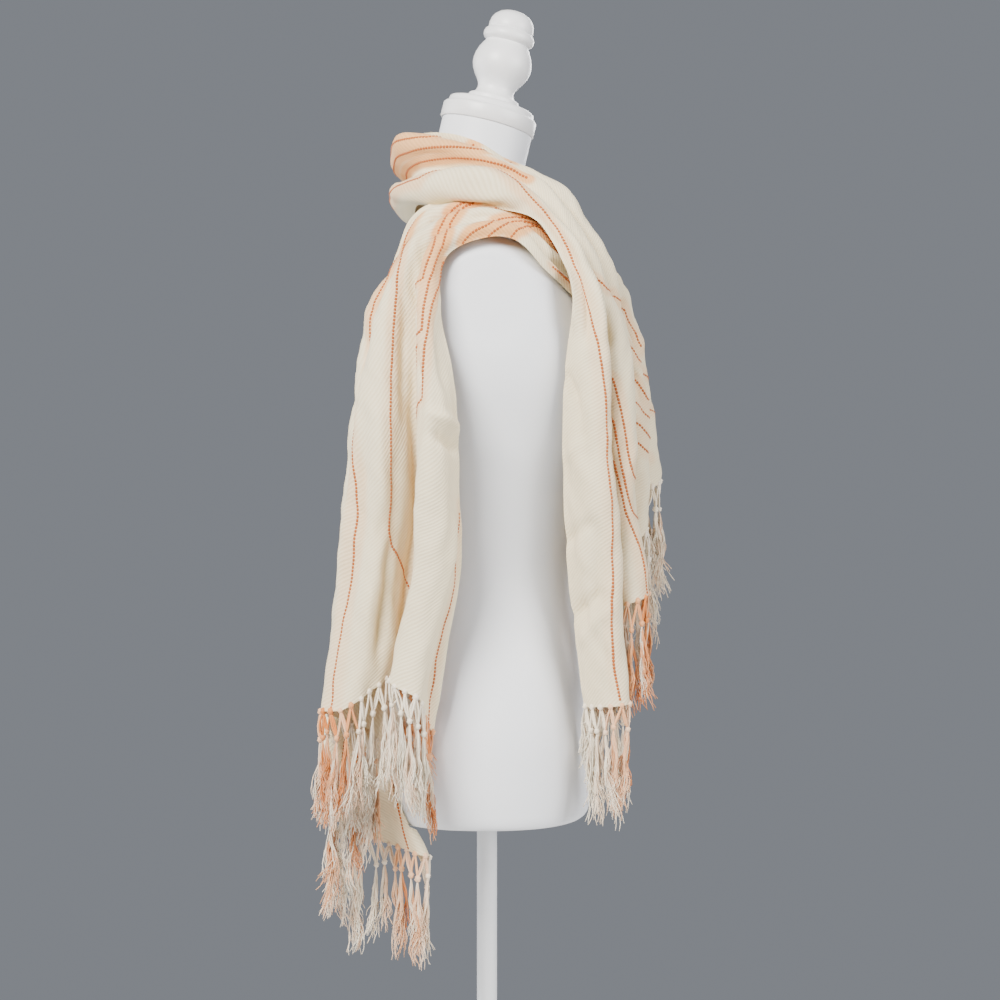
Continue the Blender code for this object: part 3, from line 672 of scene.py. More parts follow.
# The dashed stripes, one row each: how strongly the ground beside it is dyed, and the guide rows and
# shares of the width that it passes.
STRIPES = (
    # The group of three that runs along the near side of the back, over the shoulder and round the neck.
    (1.0, ((0.0, 0.20), (2.0, 0.22), (4.0, 0.21), (5.0, 0.22), (5.45, 0.19), (5.62, 0.150), (5.66, 0.121),
           (5.88, 0.115), (6.06, 0.109), (6.24, 0.106), (6.41, 0.111), (6.56, 0.136), (6.58, 0.346),
           (6.68, 0.362), (6.81, 0.394), (6.96, 0.435), (7.03, 0.677), (7.19, 0.710), (7.35, 0.740),
           (7.50, 0.86), (7.6, 0.99))),
    (1.0, ((0.0, 0.24), (2.0, 0.25), (4.0, 0.24), (4.6, 0.20), (4.78, 0.160), (4.82, 0.130), (5.19, 0.119),
           (5.52, 0.103), (5.70, 0.096), (5.89, 0.086), (6.11, 0.079), (6.32, 0.074), (6.53, 0.074),
           (6.68, 0.094), (6.83, 0.125), (6.85, 0.330), (6.90, 0.351), (7.05, 0.388), (7.18, 0.426),
           (7.25, 0.684), (7.35, 0.703), (7.48, 0.715), (7.7, 0.99))),
    (1.0, ((0.0, 0.28), (2.0, 0.29), (3.6, 0.26), (3.9, 0.22), (4.08, 0.180), (4.12, 0.155), (4.46, 0.136),
           (4.65, 0.128), (4.87, 0.113), (5.14, 0.098), (5.27, 0.089), (5.45, 0.069), (5.63, 0.045),
           (5.80, 0.015), (6.06, 0.012), (6.37, 0.002))),
    (1.0, ((7.0, 0.0), (7.10, 0.024), (7.24, 0.048), (7.41, 0.064), (7.55, 0.074), (7.69, 0.104),
           (7.76, 0.314), (7.90, 0.341), (8.05, 0.380), (8.13, 0.414), (8.26, 0.647), (8.41, 0.669),
           (8.55, 0.700), (8.7, 0.74), (9.6, 0.80), (12.0, 0.77), (15.0, 0.715), (16.58, 0.714),
           (17.04, 0.703), (17.3, 0.706), (17.5, 0.76), (17.7, 0.86), (17.9, 0.99))),
    (1.0, ((7.48, 0.0), (7.55, 0.003), (7.68, 0.039), (7.80, 0.065), (7.92, 0.096), (8.01, 0.318),
           (8.17, 0.370), (8.23, 0.404), (8.37, 0.644), (8.53, 0.667), (8.65, 0.693), (9.6, 0.66),
           (12.0, 0.66), (15.0, 0.65), (16.57, 0.661), (16.92, 0.645), (17.57, 0.650), (17.84, 0.656),
           (18.03, 0.665), (18.25, 0.74), (18.45, 0.86), (18.6, 0.99))),
    (1.0, ((7.97, 0.0), (8.01, 0.006), (8.05, 0.061), (8.16, 0.109), (8.26, 0.329), (8.35, 0.388),
           (8.51, 0.645), (8.66, 0.686), (8.79, 0.695), (9.12, 0.669), (9.25, 0.650), (10.5, 0.60),
           (12.0, 0.55), (15.0, 0.555), (17.15, 0.557), (17.42, 0.560), (17.68, 0.572), (17.93, 0.579),
           (18.09, 0.585), (18.48, 0.593), (18.67, 0.573), (18.8, 0.550), (18.95, 0.54))),
    # The single stripe of the back's middle fold, and the one at its outer edge.
    (0.5, ((0.9, 0.22), (2.1, 0.30), (2.5, 0.34), (2.8, 0.41), (2.95, 0.426), (4.53, 0.425), (5.0, 0.426),
           (5.44, 0.434), (5.84, 0.463), (6.3, 0.52), (7.2, 0.58), (8.6, 0.74), (9.6, 0.97))),
    (1.0, ((0.6, 0.49), (1.44, 0.494), (1.59, 0.499), (2.3, 0.502), (3.07, 0.504), (3.45, 0.513),
           (3.94, 0.540), (4.6, 0.60), (5.6, 0.66))),
    # The stripe beside the near selvage of the back.
    (0.9, ((0.7, 0.018), (1.3, 0.024), (1.7, 0.026), (2.3, 0.030), (2.7, 0.022), (3.05, 0.008),
           (3.2, 0.001))),
    # Stripes of the folds that lie behind these.
    (0.6, ((0.0, 0.91), (0.4, 0.925), (0.9, 0.945), (2.6, 0.93), (4.0, 0.90), (6.0, 0.88))),
    (1.0, ((0.2, 0.72), (2.0, 0.70), (4.0, 0.72), (5.6, 0.74), (6.6, 0.80))),
    (1.0, ((0.2, 0.755), (2.0, 0.735), (4.0, 0.76), (5.6, 0.79), (6.4, 0.86))),
    # The single stripe of the roll's lower fold, which goes down the near fold of the front.
    (0.5, ((9.0, 0.08), (12.0, 0.16), (14.0, 0.19), (16.3, 0.205), (16.57, 0.215), (16.76, 0.234),
           (17.04, 0.249), (17.26, 0.246), (17.5, 0.31), (18.0, 0.33), (18.4, 0.26), (18.9, 0.17),
           (19.3, 0.11), (19.62, 0.086), (19.87, 0.075), (20.19, 0.060), (20.56, 0.051), (20.95, 0.065),
           (21.23, 0.080), (21.65, 0.098), (21.97, 0.104), (22.6, 0.107), (23.2, 0.105), (23.89, 0.098),
           (24.24, 0.088), (24.56, 0.085), (24.9, 0.092))),
    # The crossing stripes of the front's outer folds.
    (1.0, ((20.78, 0.37), (20.87, 0.396), (20.93, 0.409), (20.99, 0.422), (21.05, 0.50), (21.10, 0.698),
           (21.19, 0.713), (21.24, 0.80), (21.28, 0.929), (21.40, 0.931), (21.56, 0.920), (21.71, 0.901),
           (21.8, 0.90))),
    (1.0, ((21.68, 0.66), (21.75, 0.679), (21.82, 0.677), (21.92, 0.680), (21.96, 0.76), (22.03, 0.886),
           (22.1, 0.92))),
    (1.0, ((22.05, 0.63), (22.12, 0.652), (22.22, 0.665), (22.29, 0.672), (22.31, 0.78), (22.34, 0.871),
           (22.4, 0.90))),
    (0.7, ((22.26, 0.58), (22.28, 0.629), (22.31, 0.640), (22.40, 0.652), (22.46, 0.70))),
    (0.7, ((22.43, 0.57), (22.46, 0.619), (22.50, 0.624), (22.59, 0.644), (22.65, 0.70))),
    (0.7, ((22.61, 0.57), (22.64, 0.611), (22.67, 0.623), (22.73, 0.631), (22.77, 0.70), (22.79, 0.825))),
    (1.0, ((21.95, 0.29), (22.06, 0.331), (22.22, 0.335), (22.39, 0.340), (22.61, 0.346), (22.84, 0.348),
           (22.97, 0.356), (23.06, 0.42), (23.4, 0.50))),
    (1.0, ((22.3, 0.28), (22.45, 0.321), (22.62, 0.324), (22.81, 0.330), (23.01, 0.334), (23.20, 0.339),
           (23.34, 0.347), (23.44, 0.42), (23.8, 0.50))),
    (1.0, ((22.7, 0.28), (22.83, 0.315), (23.06, 0.324), (23.32, 0.330), (23.51, 0.341), (23.7, 0.348),
           (24.01, 0.352), (24.45, 0.37))),
    (0.6, ((23.65, 0.25), (23.84, 0.295), (24.0, 0.310), (24.3, 0.306), (24.7, 0.300))),
)

# The height of each hem at shares of the width, and the level guide rows that it crosses.
HEM_COLUMNS = ("across", "height")
HEMS = {
    End.BACK: ((0.0, 588.0), (0.15, 636.0), (0.33, 655.0), (0.48, 604.0), (0.64, 588.0), (0.80, 522.0),
               (0.88, 484.0), (1.0, 466.0)),
    End.FRONT: ((0.0, 616.0), (0.14, 620.0), (0.30, 706.0), (0.50, 742.0), (0.75, 820.0), (1.0, 862.0)),
}
LEVEL_ROWS = {End.BACK: slice(0, 6), End.FRONT: slice(21, 26)}


@dataclass
class ScarfPath:
    """The cloth's surface on a fine grid: guide rows one way and shares of its width the other."""

    torso: TorsoShape
    row_step: float = 0.03
    columns: int = 200
    # The line of folds: how finely it is worked out, how round its crests are, how soft its bends are where
    # the cloth is slack, how unlike its folds are, and the steepest slope that is tried.
    samples: int = 480
    crest: float = 0.3
    softness: float = 1.8
    uneven: float = 0.09
    swing: float = 8.0
    steepest: float = 2.2
    halvings: int = 24
    flattest: float = 0.985
    # Where the near lobe ends, as a share of the width, and over how much of it its shift fades.
    lobe_end: float = 0.26
    lobe_fade: float = 0.13
    # How far the cloth stands off the form, and how far its creases may sink back towards it.
    off_form: float = 3.0
    sink: float = 1.2
    crease_taper: float = 3.2
    # The cloth's small waves: how far they turn, how their length varies, and how they stretch and wander.
    wave_turn: float = 0.9
    wave_spread: tuple[float, float] = (0.7, 1.4)
    wave_stretch: float = 0.55
    wave_wander: float = 0.7
    # How far from a stripe the ground is dyed, and over what distance the dye fades.
    dye_reach: float = 9.5
    dye_edge: float = 5.0
    seed: int = 12

    # The grid: its guide rows and shares of the width, the flat width and the length run so far at each row,
    # and the place, the outward normal, the dye of the yarn and that of the ground at each point.
    rows: Array = field(init=False, repr=False)
    shares: Array = field(init=False, repr=False)
    widths: Array = field(init=False, repr=False)
    lengths: Array = field(init=False, repr=False)
    points: Array = field(init=False, repr=False)
    normals: Array = field(init=False, repr=False)
    dye: Array = field(init=False, repr=False)
    ground: Array = field(init=False, repr=False)

    # How strongly the ground beside the stripes is dyed, by guide row: worn and bleached on the falls.
    GROUND_BY_ROW = ((0.0, 0.22), (4.2, 0.28), (5.8, 0.8), (6.6, 1.0), (19.3, 0.9), (20.6, 0.4), (25.0, 0.25))
    # Sizes of the small waves: their length, their height and how many there are.
    WAVES = ((95.0, 1.0, 5), (42.0, 0.6, 7), (17.0, 0.2, 8))

    def __post_init__(self) -> None:
        """Work the grid out once, for every piece that lies on it."""
        self.rows = np.arange(0.0, len(GUIDE) - 1 + self.row_step / 2, self.row_step)
        self.shares = np.linspace(0.0, 1.0, self.columns + 1)
        self.widths = self.guide("width", self.rows)
        self.lengths = run_along(self.guide_points(self.rows, np.full(len(self.rows), 0.5)))
        points = self.laid()
        points += self.normals_of(points) * self.relief()[..., None]
        self.points = self.torso.clear(points, self.off_form - self.sink)
        self.normals = self.normals_of(self.points)
        self.dye = self.dyed()
        self.ground = self.dye * np.interp(self.rows, *zip(*self.GROUND_BY_ROW))[:, None]

    def guide(self, name: str, where: Array) -> Array:
        """A column of the guide table at fractional rows."""
        return between_rows(column(GUIDE, GUIDE_COLUMNS, name), where)

    def guide_points(self, where: Array, across: Array) -> Array:
        """Points of the guide surface.

        Args:
            where: fractional guide rows.
            across: shares of the way from the near edge to the far one.

        Returns:
            Points in millimetres.
        """
        near, mid, far = (
            np.stack([self.guide(f"{edge}_{axis}", where) for axis in "xyz"], -1)
            for edge in ("near", "mid", "far")
        )
        bow = 2 * mid - (near + far) / 2
        part = np.asarray(across, float)[..., None]
        return (1 - part) ** 2 * near + 2 * part * (1 - part) * bow + part**2 * far

    def fold_line(self, folds: float, turn: float, share: float) -> tuple[Array, Array]:
        """One folded line of length 1, whose ends are a given share of it apart.

        Args:
            folds: how many folds it has.
            turn: how far the first one is turned.
            share: the distance between its ends.

        Returns:
            The advance and the height at each sample.
        """
        line = np.linspace(0.0, 1.0, self.samples)
        phase = 2 * math.pi * (turn + folds * line + self.uneven * np.sin(self.swing * line))
        swing = np.sin(phase + self.crest * np.sin(phase))
        soft = self.softness * share
        swing = swing * math.hypot(1.0, soft) / np.hypot(swing, soft)
        low, high = 0.0, self.steepest
        for _ in range(self.halvings):
            peak = (low + high) / 2
            low, high = (peak, high) if np.cos(peak * swing).mean() > share else (low, peak)
        slope = peak * swing
        step = 1 / (self.samples - 1)
        advance = np.concatenate([[0.0], np.cumsum((np.cos(slope[1:]) + np.cos(slope[:-1])) / 2 * step)])
        height = np.concatenate([[0.0], np.cumsum((np.sin(slope[1:]) + np.sin(slope[:-1])) / 2 * step)])
        return advance / advance[-1], height - height.min()

    def laid(self) -> Array:
        """The folded cloth on its guide, settled, shifted where listed and clear of the form.

        Returns:
            The grid of points in millimetres.
        """
        points = np.stack([self.laid_row(row, width) for row, width in zip(self.rows, self.widths)])
        for row, rows, share, shares, *way in SHIFTS:
            near_row = np.exp(-(((self.rows - row) / rows) ** 2))[:, None]
            near_share = np.exp(-(((self.shares - share) / shares) ** 2))[None, :]
            points += (near_row * near_share)[..., None] * np.array(way)
        return self.torso.clear(points, self.off_form)

    def laid_row(self, row: float, width: float, step: float = 0.01, samples: int = 40) -> Array:
        """One row of the folded cloth.

        Args:
            row: the guide row.
            width: the flat width of cloth there.
            step: the step, in rows and in shares, over which the guide's slope is taken.
            samples: how many points measure the guide's own width.

        Returns:
            The row's points in millimetres, from the near edge to the far one.
        """
        edge = self.guide_points(np.full(samples, row), np.linspace(0, 1, samples))
        reach = np.linalg.norm(np.diff(edge, axis=0), axis=1).sum()
        folds, turn, lean = (float(self.guide(name, np.array(row))) for name in ("folds", "turn", "lean"))
        near_dx, rise = (
            np.interp(row, column(SETTLE, SETTLE_COLUMNS, "row"), column(SETTLE, SETTLE_COLUMNS, name))
            for name in ("near_dx", "height")
        )
        line = np.linspace(0.0, 1.0, self.samples)
        advance, height = self.fold_line(folds, turn, min(reach / width, self.flattest))
        across = np.interp(self.shares, line, advance)
        height = np.interp(self.shares, line, height) * width * rise
        here = np.full(self.columns + 1, row)
        along = self.guide_points(here + step, across) - self.guide_points(here - step, across)
        over = self.guide_points(here, across + step) - self.guide_points(here, across - step)
        normal = np.cross(along, over)
        over = unit(np.cross(normal, along))
        lean = math.radians(lean)
        way = unit(normal) * math.cos(lean) + over * math.sin(lean)
        points = self.guide_points(here, across) + way * height[:, None]
        points[:, 0] += near_dx * smooth_step((self.lobe_end - self.shares) / self.lobe_fade)
        return points

    def normals_of(self, points: Array) -> Array:
        """Outward normals of a grid of points."""
        return unit(np.cross(np.gradient(points, axis=0), np.gradient(points, axis=1)))

    def relief(self) -> Array:
        """Height of the listed creases, and of the cloth's small unevenness.

        Returns:
            A height in millimetres for each grid point.
        """
        total = self.creases()
        draw = np.random.default_rng(self.seed)
        along = np.broadcast_to(self.lengths[:, None], total.shape)
        across = self.shares[None, :] * self.widths[:, None]
        for wave, height, count in self.WAVES:
            for _ in range(count):
                angle = draw.uniform(-self.wave_turn, self.wave_turn)
                phase = draw.uniform(0, 2 * math.pi)
                period = wave * draw.uniform(*self.wave_spread)
                flow = along * math.sin(angle) * self.wave_stretch + across * math.cos(angle)
                wander = self.wave_wander * np.sin(along / wave)
                total += height * np.sin(2 * math.pi * flow / period + phase + wander)
        return total

    def creases(self) -> Array:
        """Height of the listed creases.

        Returns:
            A height in millimetres for each grid point.
        """
        total = np.zeros((len(self.rows), self.columns + 1))
        for row, share, end_row, end_share, half_width, height in CREASES:
            start, end = (np.interp(place, self.rows, self.lengths) for place in (row, end_row))
            along = (self.lengths - start)[:, None]
            across = (self.shares[None, :] - share) * self.widths[:, None]
            run = end - start
            aside = (end_share - share) * float(self.guide("width", np.array((row + end_row) / 2)))
            length = math.hypot(run, aside)
            part = (along * run + across * aside) / length**2
            off = (across * run - along * aside) / length
            taper = np.clip(np.minimum(part, 1 - part) * self.crease_taper, 0.0, 1.0)
            total += height * smooth_step(taper) * np.exp(-((off / half_width) ** 2))
        return total

    def sample(self, grid: Array, where: Array, across: Array, inside: float = 0.001) -> Array:
        """Read a grid between its points.

        Args:
            grid: the points, the normals or a value for each point.
            where: fractional guide rows.
            across: shares of the width.
            inside: how far within the grid's last row and column a place stays, in grid steps.

        Returns:
            One value for each place.
        """
        row = np.clip(np.asarray(where) / self.row_step, 0, len(self.rows) - 1 - inside)
        place = np.clip(np.asarray(across) * self.columns, 0, self.columns - inside)
        r, p = row.astype(int), place.astype(int)
        a, b = row - r, place - p
        if grid.ndim == 3:
            a, b = a[..., None], b[..., None]
        return (grid[r, p] * (1 - a) * (1 - b) + grid[r + 1, p] * a * (1 - b)
                + grid[r, p + 1] * (1 - a) * b + grid[r + 1, p + 1] * a * b)

    def hem_rows(self, end: End, across: Array) -> Array:
        """Find where a hem crosses the guide.

        Args:
            end: the scarf's end.
            across: shares of the width.

        Returns:
            The fractional guide row of the hem at each of them.
        """
        heights = np.interp(across, column(HEMS[end], HEM_COLUMNS, "across"),
                            column(HEMS[end], HEM_COLUMNS, "height"))
        numbers = np.arange(len(GUIDE))[LEVEL_ROWS[end]]
        levels = column(GUIDE, GUIDE_COLUMNS, "mid_z")[LEVEL_ROWS[end]]
        order = np.argsort(levels)
        return np.interp(heights, levels[order], numbers[order])

    def dyed(self) -> Array:
        """How strongly the yarn is dyed beside the stripes.

        Returns:
            A value from 0 to 1 for each grid point.
        """
        total = np.zeros((len(self.rows), self.columns + 1))
        along = np.broadcast_to(self.lengths[:, None], total.shape)
        across = (self.shares[None, :] - 0.5) * self.widths[:, None]
        for strength, path in STRIPES:
            rows, shares = np.array(path).T
            line_along = np.interp(rows, self.rows, self.lengths)
            line_across = (shares - 0.5) * np.interp(rows, self.rows, self.widths)
            off = np.full(total.shape, np.inf)
            for x, y, run, aside in zip(line_along, line_across, np.diff(line_along), np.diff(line_across)):
                part = (along - x) * run + (across - y) * aside
                part = np.clip(part / (run * run + aside * aside), 0.0, 1.0)
                off = np.minimum(off, np.hypot(along - x - part * run, across - y - part * aside))
            total = np.maximum(total, strength * smooth_step((self.dye_reach - off) / self.dye_edge))
        return total


# ---- pieces of the scarf


@dataclass
class ScarfCloth:
    """The scarf's cloth: one thin sheet for each stretch that shows, all on the same path."""

    path: ScarfPath
    looks: bpy.types.Material
    wall: float = 0.9
    columns: int = 160
    row_mm: float = 3.2

    # Each stretch: its node, and its first and last guide row. The first and the last end at a hem.
    STRETCHES = (
        ("back_fall", 0.0, 5.4),
        ("shoulder_band", 5.4, 9.4),
        ("chest_cowl", 9.4, 12.0),
        ("neck_roll", 12.0, 19.0),
        ("front_fall", 19.0, 25.0),
    )

    def build(self) -> dict[str, bpy.types.Object]:
        """Make every stretch.

        Returns:
            The sheets, by the name of the node that each stands for.
        """
        return {node: self.stretch(node, first, last) for node, first, last in self.STRETCHES}

    def stretch(self, node: str, first: float, last: float) -> bpy.types.Object:
        """Make one stretch.

        Args:
            node: the CAD node that it stands for.
            first: its first guide row.
            last: its last guide row.

        Returns:
            The sheet, with its weave map in metres.
        """
        path = self.path
        shares = np.linspace(0.0, 1.0, self.columns + 1)
        start, end = np.full(len(shares), first), np.full(len(shares), last)
        if first == 0.0:
            start = path.hem_rows(End.BACK, shares)
        if last == len(GUIDE) - 1.0:
            end = path.hem_rows(End.FRONT, shares)
        long = np.ptp(np.interp([start.min(), end.max()], path.rows, path.lengths))
        part = np.linspace(0.0, 1.0, int(long / self.row_mm) + 1)[:, None]
        where = start * (1 - part) + end * part
        across = np.broadcast_to(shares, where.shape)
        points = path.sample(path.points, where, across)
        normals = unit(path.sample(path.normals, where, across))
        made = mesh_object("scarf_" + node, *self.walls(points, normals), self.looks)
        both = np.concatenate([normals.reshape(-1, 3), -normals.reshape(-1, 3)])
        made.data.normals_split_custom_set_from_vertices(both.tolist())
        self.map_weave(made, where, across)
        paint(made, "ground", np.tile(path.sample(path.ground, where, across).reshape(-1), 2))
        self.declare(made, node)
        return made

    def walls(self, points: Array, normals: Array) -> tuple[Array, Array]:
        """Both faces of a thin sheet, closed by a rim.

        Args:
            points: a grid of points on its middle.
            normals: its outward normal at each of them.

        Returns:
            The points, those of the outer face first, and the faces.
        """
        rows, columns = points.shape[:2]
        count = rows * columns
        both = np.concatenate([points + normals * self.wall / 2, points - normals * self.wall / 2])
        index = np.arange(count).reshape(rows, columns)
        corners = [index[:-1, :-1], index[1:, :-1], index[1:, 1:], index[:-1, 1:]]
        outer = np.stack(corners, -1).reshape(-1, 4)
        inner = outer[:, ::-1] + count
        rim = np.concatenate([index[0, :], index[1:, -1], index[-1, -2::-1], index[-2:0:-1, 0]])
        after = np.roll(rim, -1)
        rims = np.stack([rim, after, after + count, rim + count], -1)
        return both.reshape(-1, 3), np.concatenate([outer, inner, rims])

    def map_weave(self, made: bpy.types.Object, where: Array, across: Array) -> None:
        """Lay the weave map over a sheet, in metres across and along the flat cloth.

        Args:
            made: the sheet.
            where: the guide row of each of its grid points.
            across: their shares of the width.
        """
        along = np.interp(where, self.path.rows, self.path.lengths).reshape(-1)
        over = (across * np.interp(where, self.path.rows, self.path.widths)).reshape(-1)
        weave = np.stack([np.tile(over, 2), np.tile(along, 2)], -1) * MM
        layer = made.data.uv_layers.new(name="weave")
        corners = np.empty(len(made.data.loops), np.int64)
        made.data.loops.foreach_get("vertex_index", corners)
        layer.data.foreach_set("uv", weave[corners].reshape(-1).astype(np.float32))

    def declare(self, made: bpy.types.Object, node: str) -> None:
        """Hang a sheet on the body, and hide the CAD node that it stands for.

        Args:
            made: the sheet.
            node: the CAD node that it replaces.
        """
        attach(made, BODY)
        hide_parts(node)


@dataclass
class StripeDashes:
    """The dashed stripes: short floats of thick orange yarn that stand a little proud of the cloth."""

    path: ScarfPath
    looks: bpy.types.Material
    pitch: float = 3.5
    length: float = 3.9
    width: float = 3.5
    height: float = 1.35
    # How finely a stripe's way is worked out, in guide rows, and over how many such steps it is eased.
    step: float = 0.01
    eased: int = 15
    # How far a stripe stays within the hems, in guide rows, and within the selvages, as a share.
    off_hem: float = 0.01
    off_selvage: float = 0.003

    # A dash is six points round its waist, as shares of its length and width, and a short ridge above and
    # below: points 6 and 7 are the ridge's ends above, and 8 and 9 those below.
    WAIST = ((-0.5, 0.0), (-0.3, 0.5), (0.3, 0.5), (0.5, 0.0), (0.3, -0.5), (-0.3, -0.5))
    RIDGE = (-0.25, 0.25)
    TOP = ((0, 6, 1), (1, 6, 7, 2), (2, 7, 3), (3, 7, 4), (4, 7, 6, 5), (5, 6, 0))
    BELOW = {6: 8, 7: 9}

    def build(self) -> bpy.types.Object:
        """Make all dashes as one mesh.

        Returns:
            The stripes.
        """
        centres, forward, normals = (np.concatenate(part) for part in zip(*map(self.run, STRIPES)))
        aside = np.cross(normals, forward)
        shape = [(a * self.length, b * self.width, 0.0) for a, b in self.WAIST]
        shape += [(a * self.length, 0.0, h * self.height) for h in (1, -1) for a in self.RIDGE]
        local = np.array(shape)[None]
        points = (centres[:, None] + local[..., 0:1] * forward[:, None] + local[..., 1:2] * aside[:, None]
                  + local[..., 2:3] * normals[:, None])
        dash = [*self.TOP, *(tuple(self.BELOW.get(v, v) for v in reversed(face)) for face in self.TOP)]
        starts = range(0, len(shape) * len(points), len(shape))
        faces = [tuple(start + v for v in face) for start in starts for face in dash]
        made = mesh_object("stripe_dashes", points.reshape(-1, 3), faces, self.looks)
        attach(made, BODY)
        log.info("stripe_dashes: %d dashes", len(points))
        return made

    def run(self, stripe: tuple, beside: float = 1.0) -> tuple[Array, Array, Array]:
        """Lay out one stripe's dashes.

        Args:
            stripe: its row of the table of stripes.
            beside: how far before and behind a dash its direction is taken, in millimetres.

        Returns:
            The dashes' places, directions and normals.
        """
        path = self.path
        rows, shares = np.array(stripe[1]).T
        fine = np.linspace(rows[0], rows[-1], int((rows[-1] - rows[0]) / self.step) + 2)
        kernel = np.hanning(self.eased)
        bend = np.pad(np.interp(fine, rows, shares), self.eased // 2, mode="edge")
        bend = np.convolve(bend, kernel / kernel.sum(), mode="valid")
        shown = (bend > self.off_selvage) & (bend < 1 - self.off_selvage)
        shown &= fine > path.hem_rows(End.BACK, bend) + self.off_hem
        shown &= fine < path.hem_rows(End.FRONT, bend) - self.off_hem
        fine, bend = fine[shown], bend[shown]
        points = path.sample(path.points, fine, bend)
        run = run_along(points)
        stops = np.arange(self.pitch / 2, run[-1] - self.pitch / 2, self.pitch)
        behind, centre, ahead = (
            np.stack([np.interp(stops + off, run, points[:, axis]) for axis in range(3)], -1)
            for off in (-beside, 0.0, beside)
        )
        normals = path.sample(path.normals, np.interp(stops, run, fine), np.interp(stops, run, bend))
        forward = ahead - behind
        forward -= normals * (forward * normals).sum(-1, keepdims=True)
        return centre, unit(forward), unit(normals)


@dataclass
class KnottedFringe:
    """One end's fringe: a row of knots at the hem, cords crossing to a second row, and loose tassels."""

    path: ScarfPath
    looks: bpy.types.Material
    end: End
    length: float = 122.0
    # A knot: its radius, its half height and its tips as shares of that, and how its wrapped turns stand out.
    knot_pitch: float = 11.5
    knot_size: float = 2.7
    knot_height: float = 1.15
    knot_tip: float = 1.2
    knot_turns: int = 3
    knot_wrap: float = 0.16
    knot_sides: int = 8
    knot_rings: int = 6
    second_row: float = 23.0
    second_row_aside: float = 1.3
    cord_radius: float = 1.0
    cord_threads: int = 3
    cord_steps: int = 7
    cord_sides: int = 4
    # How far a cord's threads part from each other and how far they sag, which is less in height.
    cord_bow: float = 0.75
    cord_sag: tuple[float, float, float] = (1.0, 1.0, 0.2)
    strands: int = 4
    # How strands leave the knot: the powers of the way down with which they spread and sway, and how soon
    # their waves are full.
    spread_power: float = 0.7
    sway_power: float = 1.4
    wave_rate: float = 1.6
    sway: float = 4.5
    most_sway: float = 7.5
    threads: int = 8
    thread_steps: int = 15
    thread_sides: int = 3
    thread_radius: float = 0.62
    thread_taper: float = 0.35
    # How threads leave the strand: how far apart they lie, how soon, how late they fray out, and how much a
    # thread that frays is lifted.
    thread_apart: float = 0.9
    apart_rate: float = 6.0
    fray_power: int = 4
    fray_lift: float = 0.55
    lift_power: int = 5
    under_knot: float = 0.6
    off_form: float = 4.0
    threads_off_form: float = 1.2
    # How many strands stay undyed and how many threads stray out past the others, and the dye of undyed
    # yarn, of undyed strands, and how it differs from strand to strand and from thread to thread.
    pale_strands: float = 0.22
    stray_threads: float = 0.04
    least_dye: float = 0.04
    pale_dye: float = 0.08
    strand_dye: float = 0.15
    thread_dye: float = 0.05
    seed: int = 5

    # Ranges of shares: the knots' size, the drop to the second row, how much dye the yarn takes, and how
    # far strands and threads fall.
    KNOT_SIZES = (0.85, 1.2)
    SECOND_ROW = (0.78, 1.22)
    DYE_TAKEN = (0.5, 1.1)
    STRAND_FALL = (0.60, 0.96)
    THREAD_FALL = (0.82, 1.04)
    # Where yarn takes its dye from: how far beside it, as a share of the width, and how strongly.
    DYE_PLACES = ((0.0, 1.0), (-0.022, 0.75), (0.022, 0.75))
    # Ranges of the waves along a strand and of the curls along a thread: their size, how many there are
    # from the knot to the end, and where they start.
    STRAND_WAVES = ((0.8, 3.4), (0.7, 2.3), (0.0, 2 * math.pi))
    THREAD_CURLS = ((0.3, 1.5), (2.0, 5.0), (0.0, 2 * math.pi))
    # How far strands spread from their knot, and how far threads fray out at their ends: those that stray,
    # and the others.
    SPREAD = (1.2, 5.2)
    STRAY = (5.0, 8.5)
    FRAY = (1.0, 6.5)

    draw: np.random.Generator = field(init=False, repr=False)

    def __post_init__(self) -> None:
        """Start this end's own random draws."""
        self.draw = np.random.default_rng(self.seed)

    def build(self) -> bpy.types.Object:
        """Make the fringe as one mesh.

        Returns:
            The fringe.
        """
        shares = self.knot_shares()
        roots = self.hem_points(shares)
        dye = self.dye_of(shares)
        half = (shares[1:] + shares[:-1]) / 2
        lower = self.lower_knots(roots, half)
        lower_dye = self.dye_of(half)
        parts = [
            self.knots(roots, dye), self.knots(lower, lower_dye),
            self.cords(roots, lower, dye), self.tassels(lower, lower_dye),
        ]
        start, faces = 0, []
        for part_points, part_faces, _ in parts:
            faces += [tuple(v + start for v in face) for face in part_faces]
            start += len(part_points)
        node = "fringe_" + self.end.value
        made = mesh_object("knotted_" + node, np.concatenate([part[0] for part in parts]), faces, self.looks)
        paint(made, "dye", np.concatenate([part[2] for part in parts]))
        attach(made, BODY)
        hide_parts(node)
        log.info("%s: %d knots, %d faces", made.name, len(roots) + len(lower), len(faces))
        return made

    def hem_points(self, shares: Array) -> Array:
        """Points of the hem at shares of the width."""
        return self.path.sample(self.path.points, self.path.hem_rows(self.end, shares), shares)

    def knot_shares(self, off_selvage: float = 0.004, samples: int = 900) -> Array:
        """Space the hem's knots evenly along it.

        Args:
            off_selvage: how far the outer knots are from the selvages, as a share of the width.
            samples: how many points measure the hem.

        Returns:
            The share of the width at each knot.
        """
        fine = np.linspace(off_selvage, 1 - off_selvage, samples)
        run = run_along(self.hem_points(fine))
        count = int(run[-1] / self.knot_pitch)
        return np.interp(np.linspace(0.0, run[-1], count + 1), run, fine)

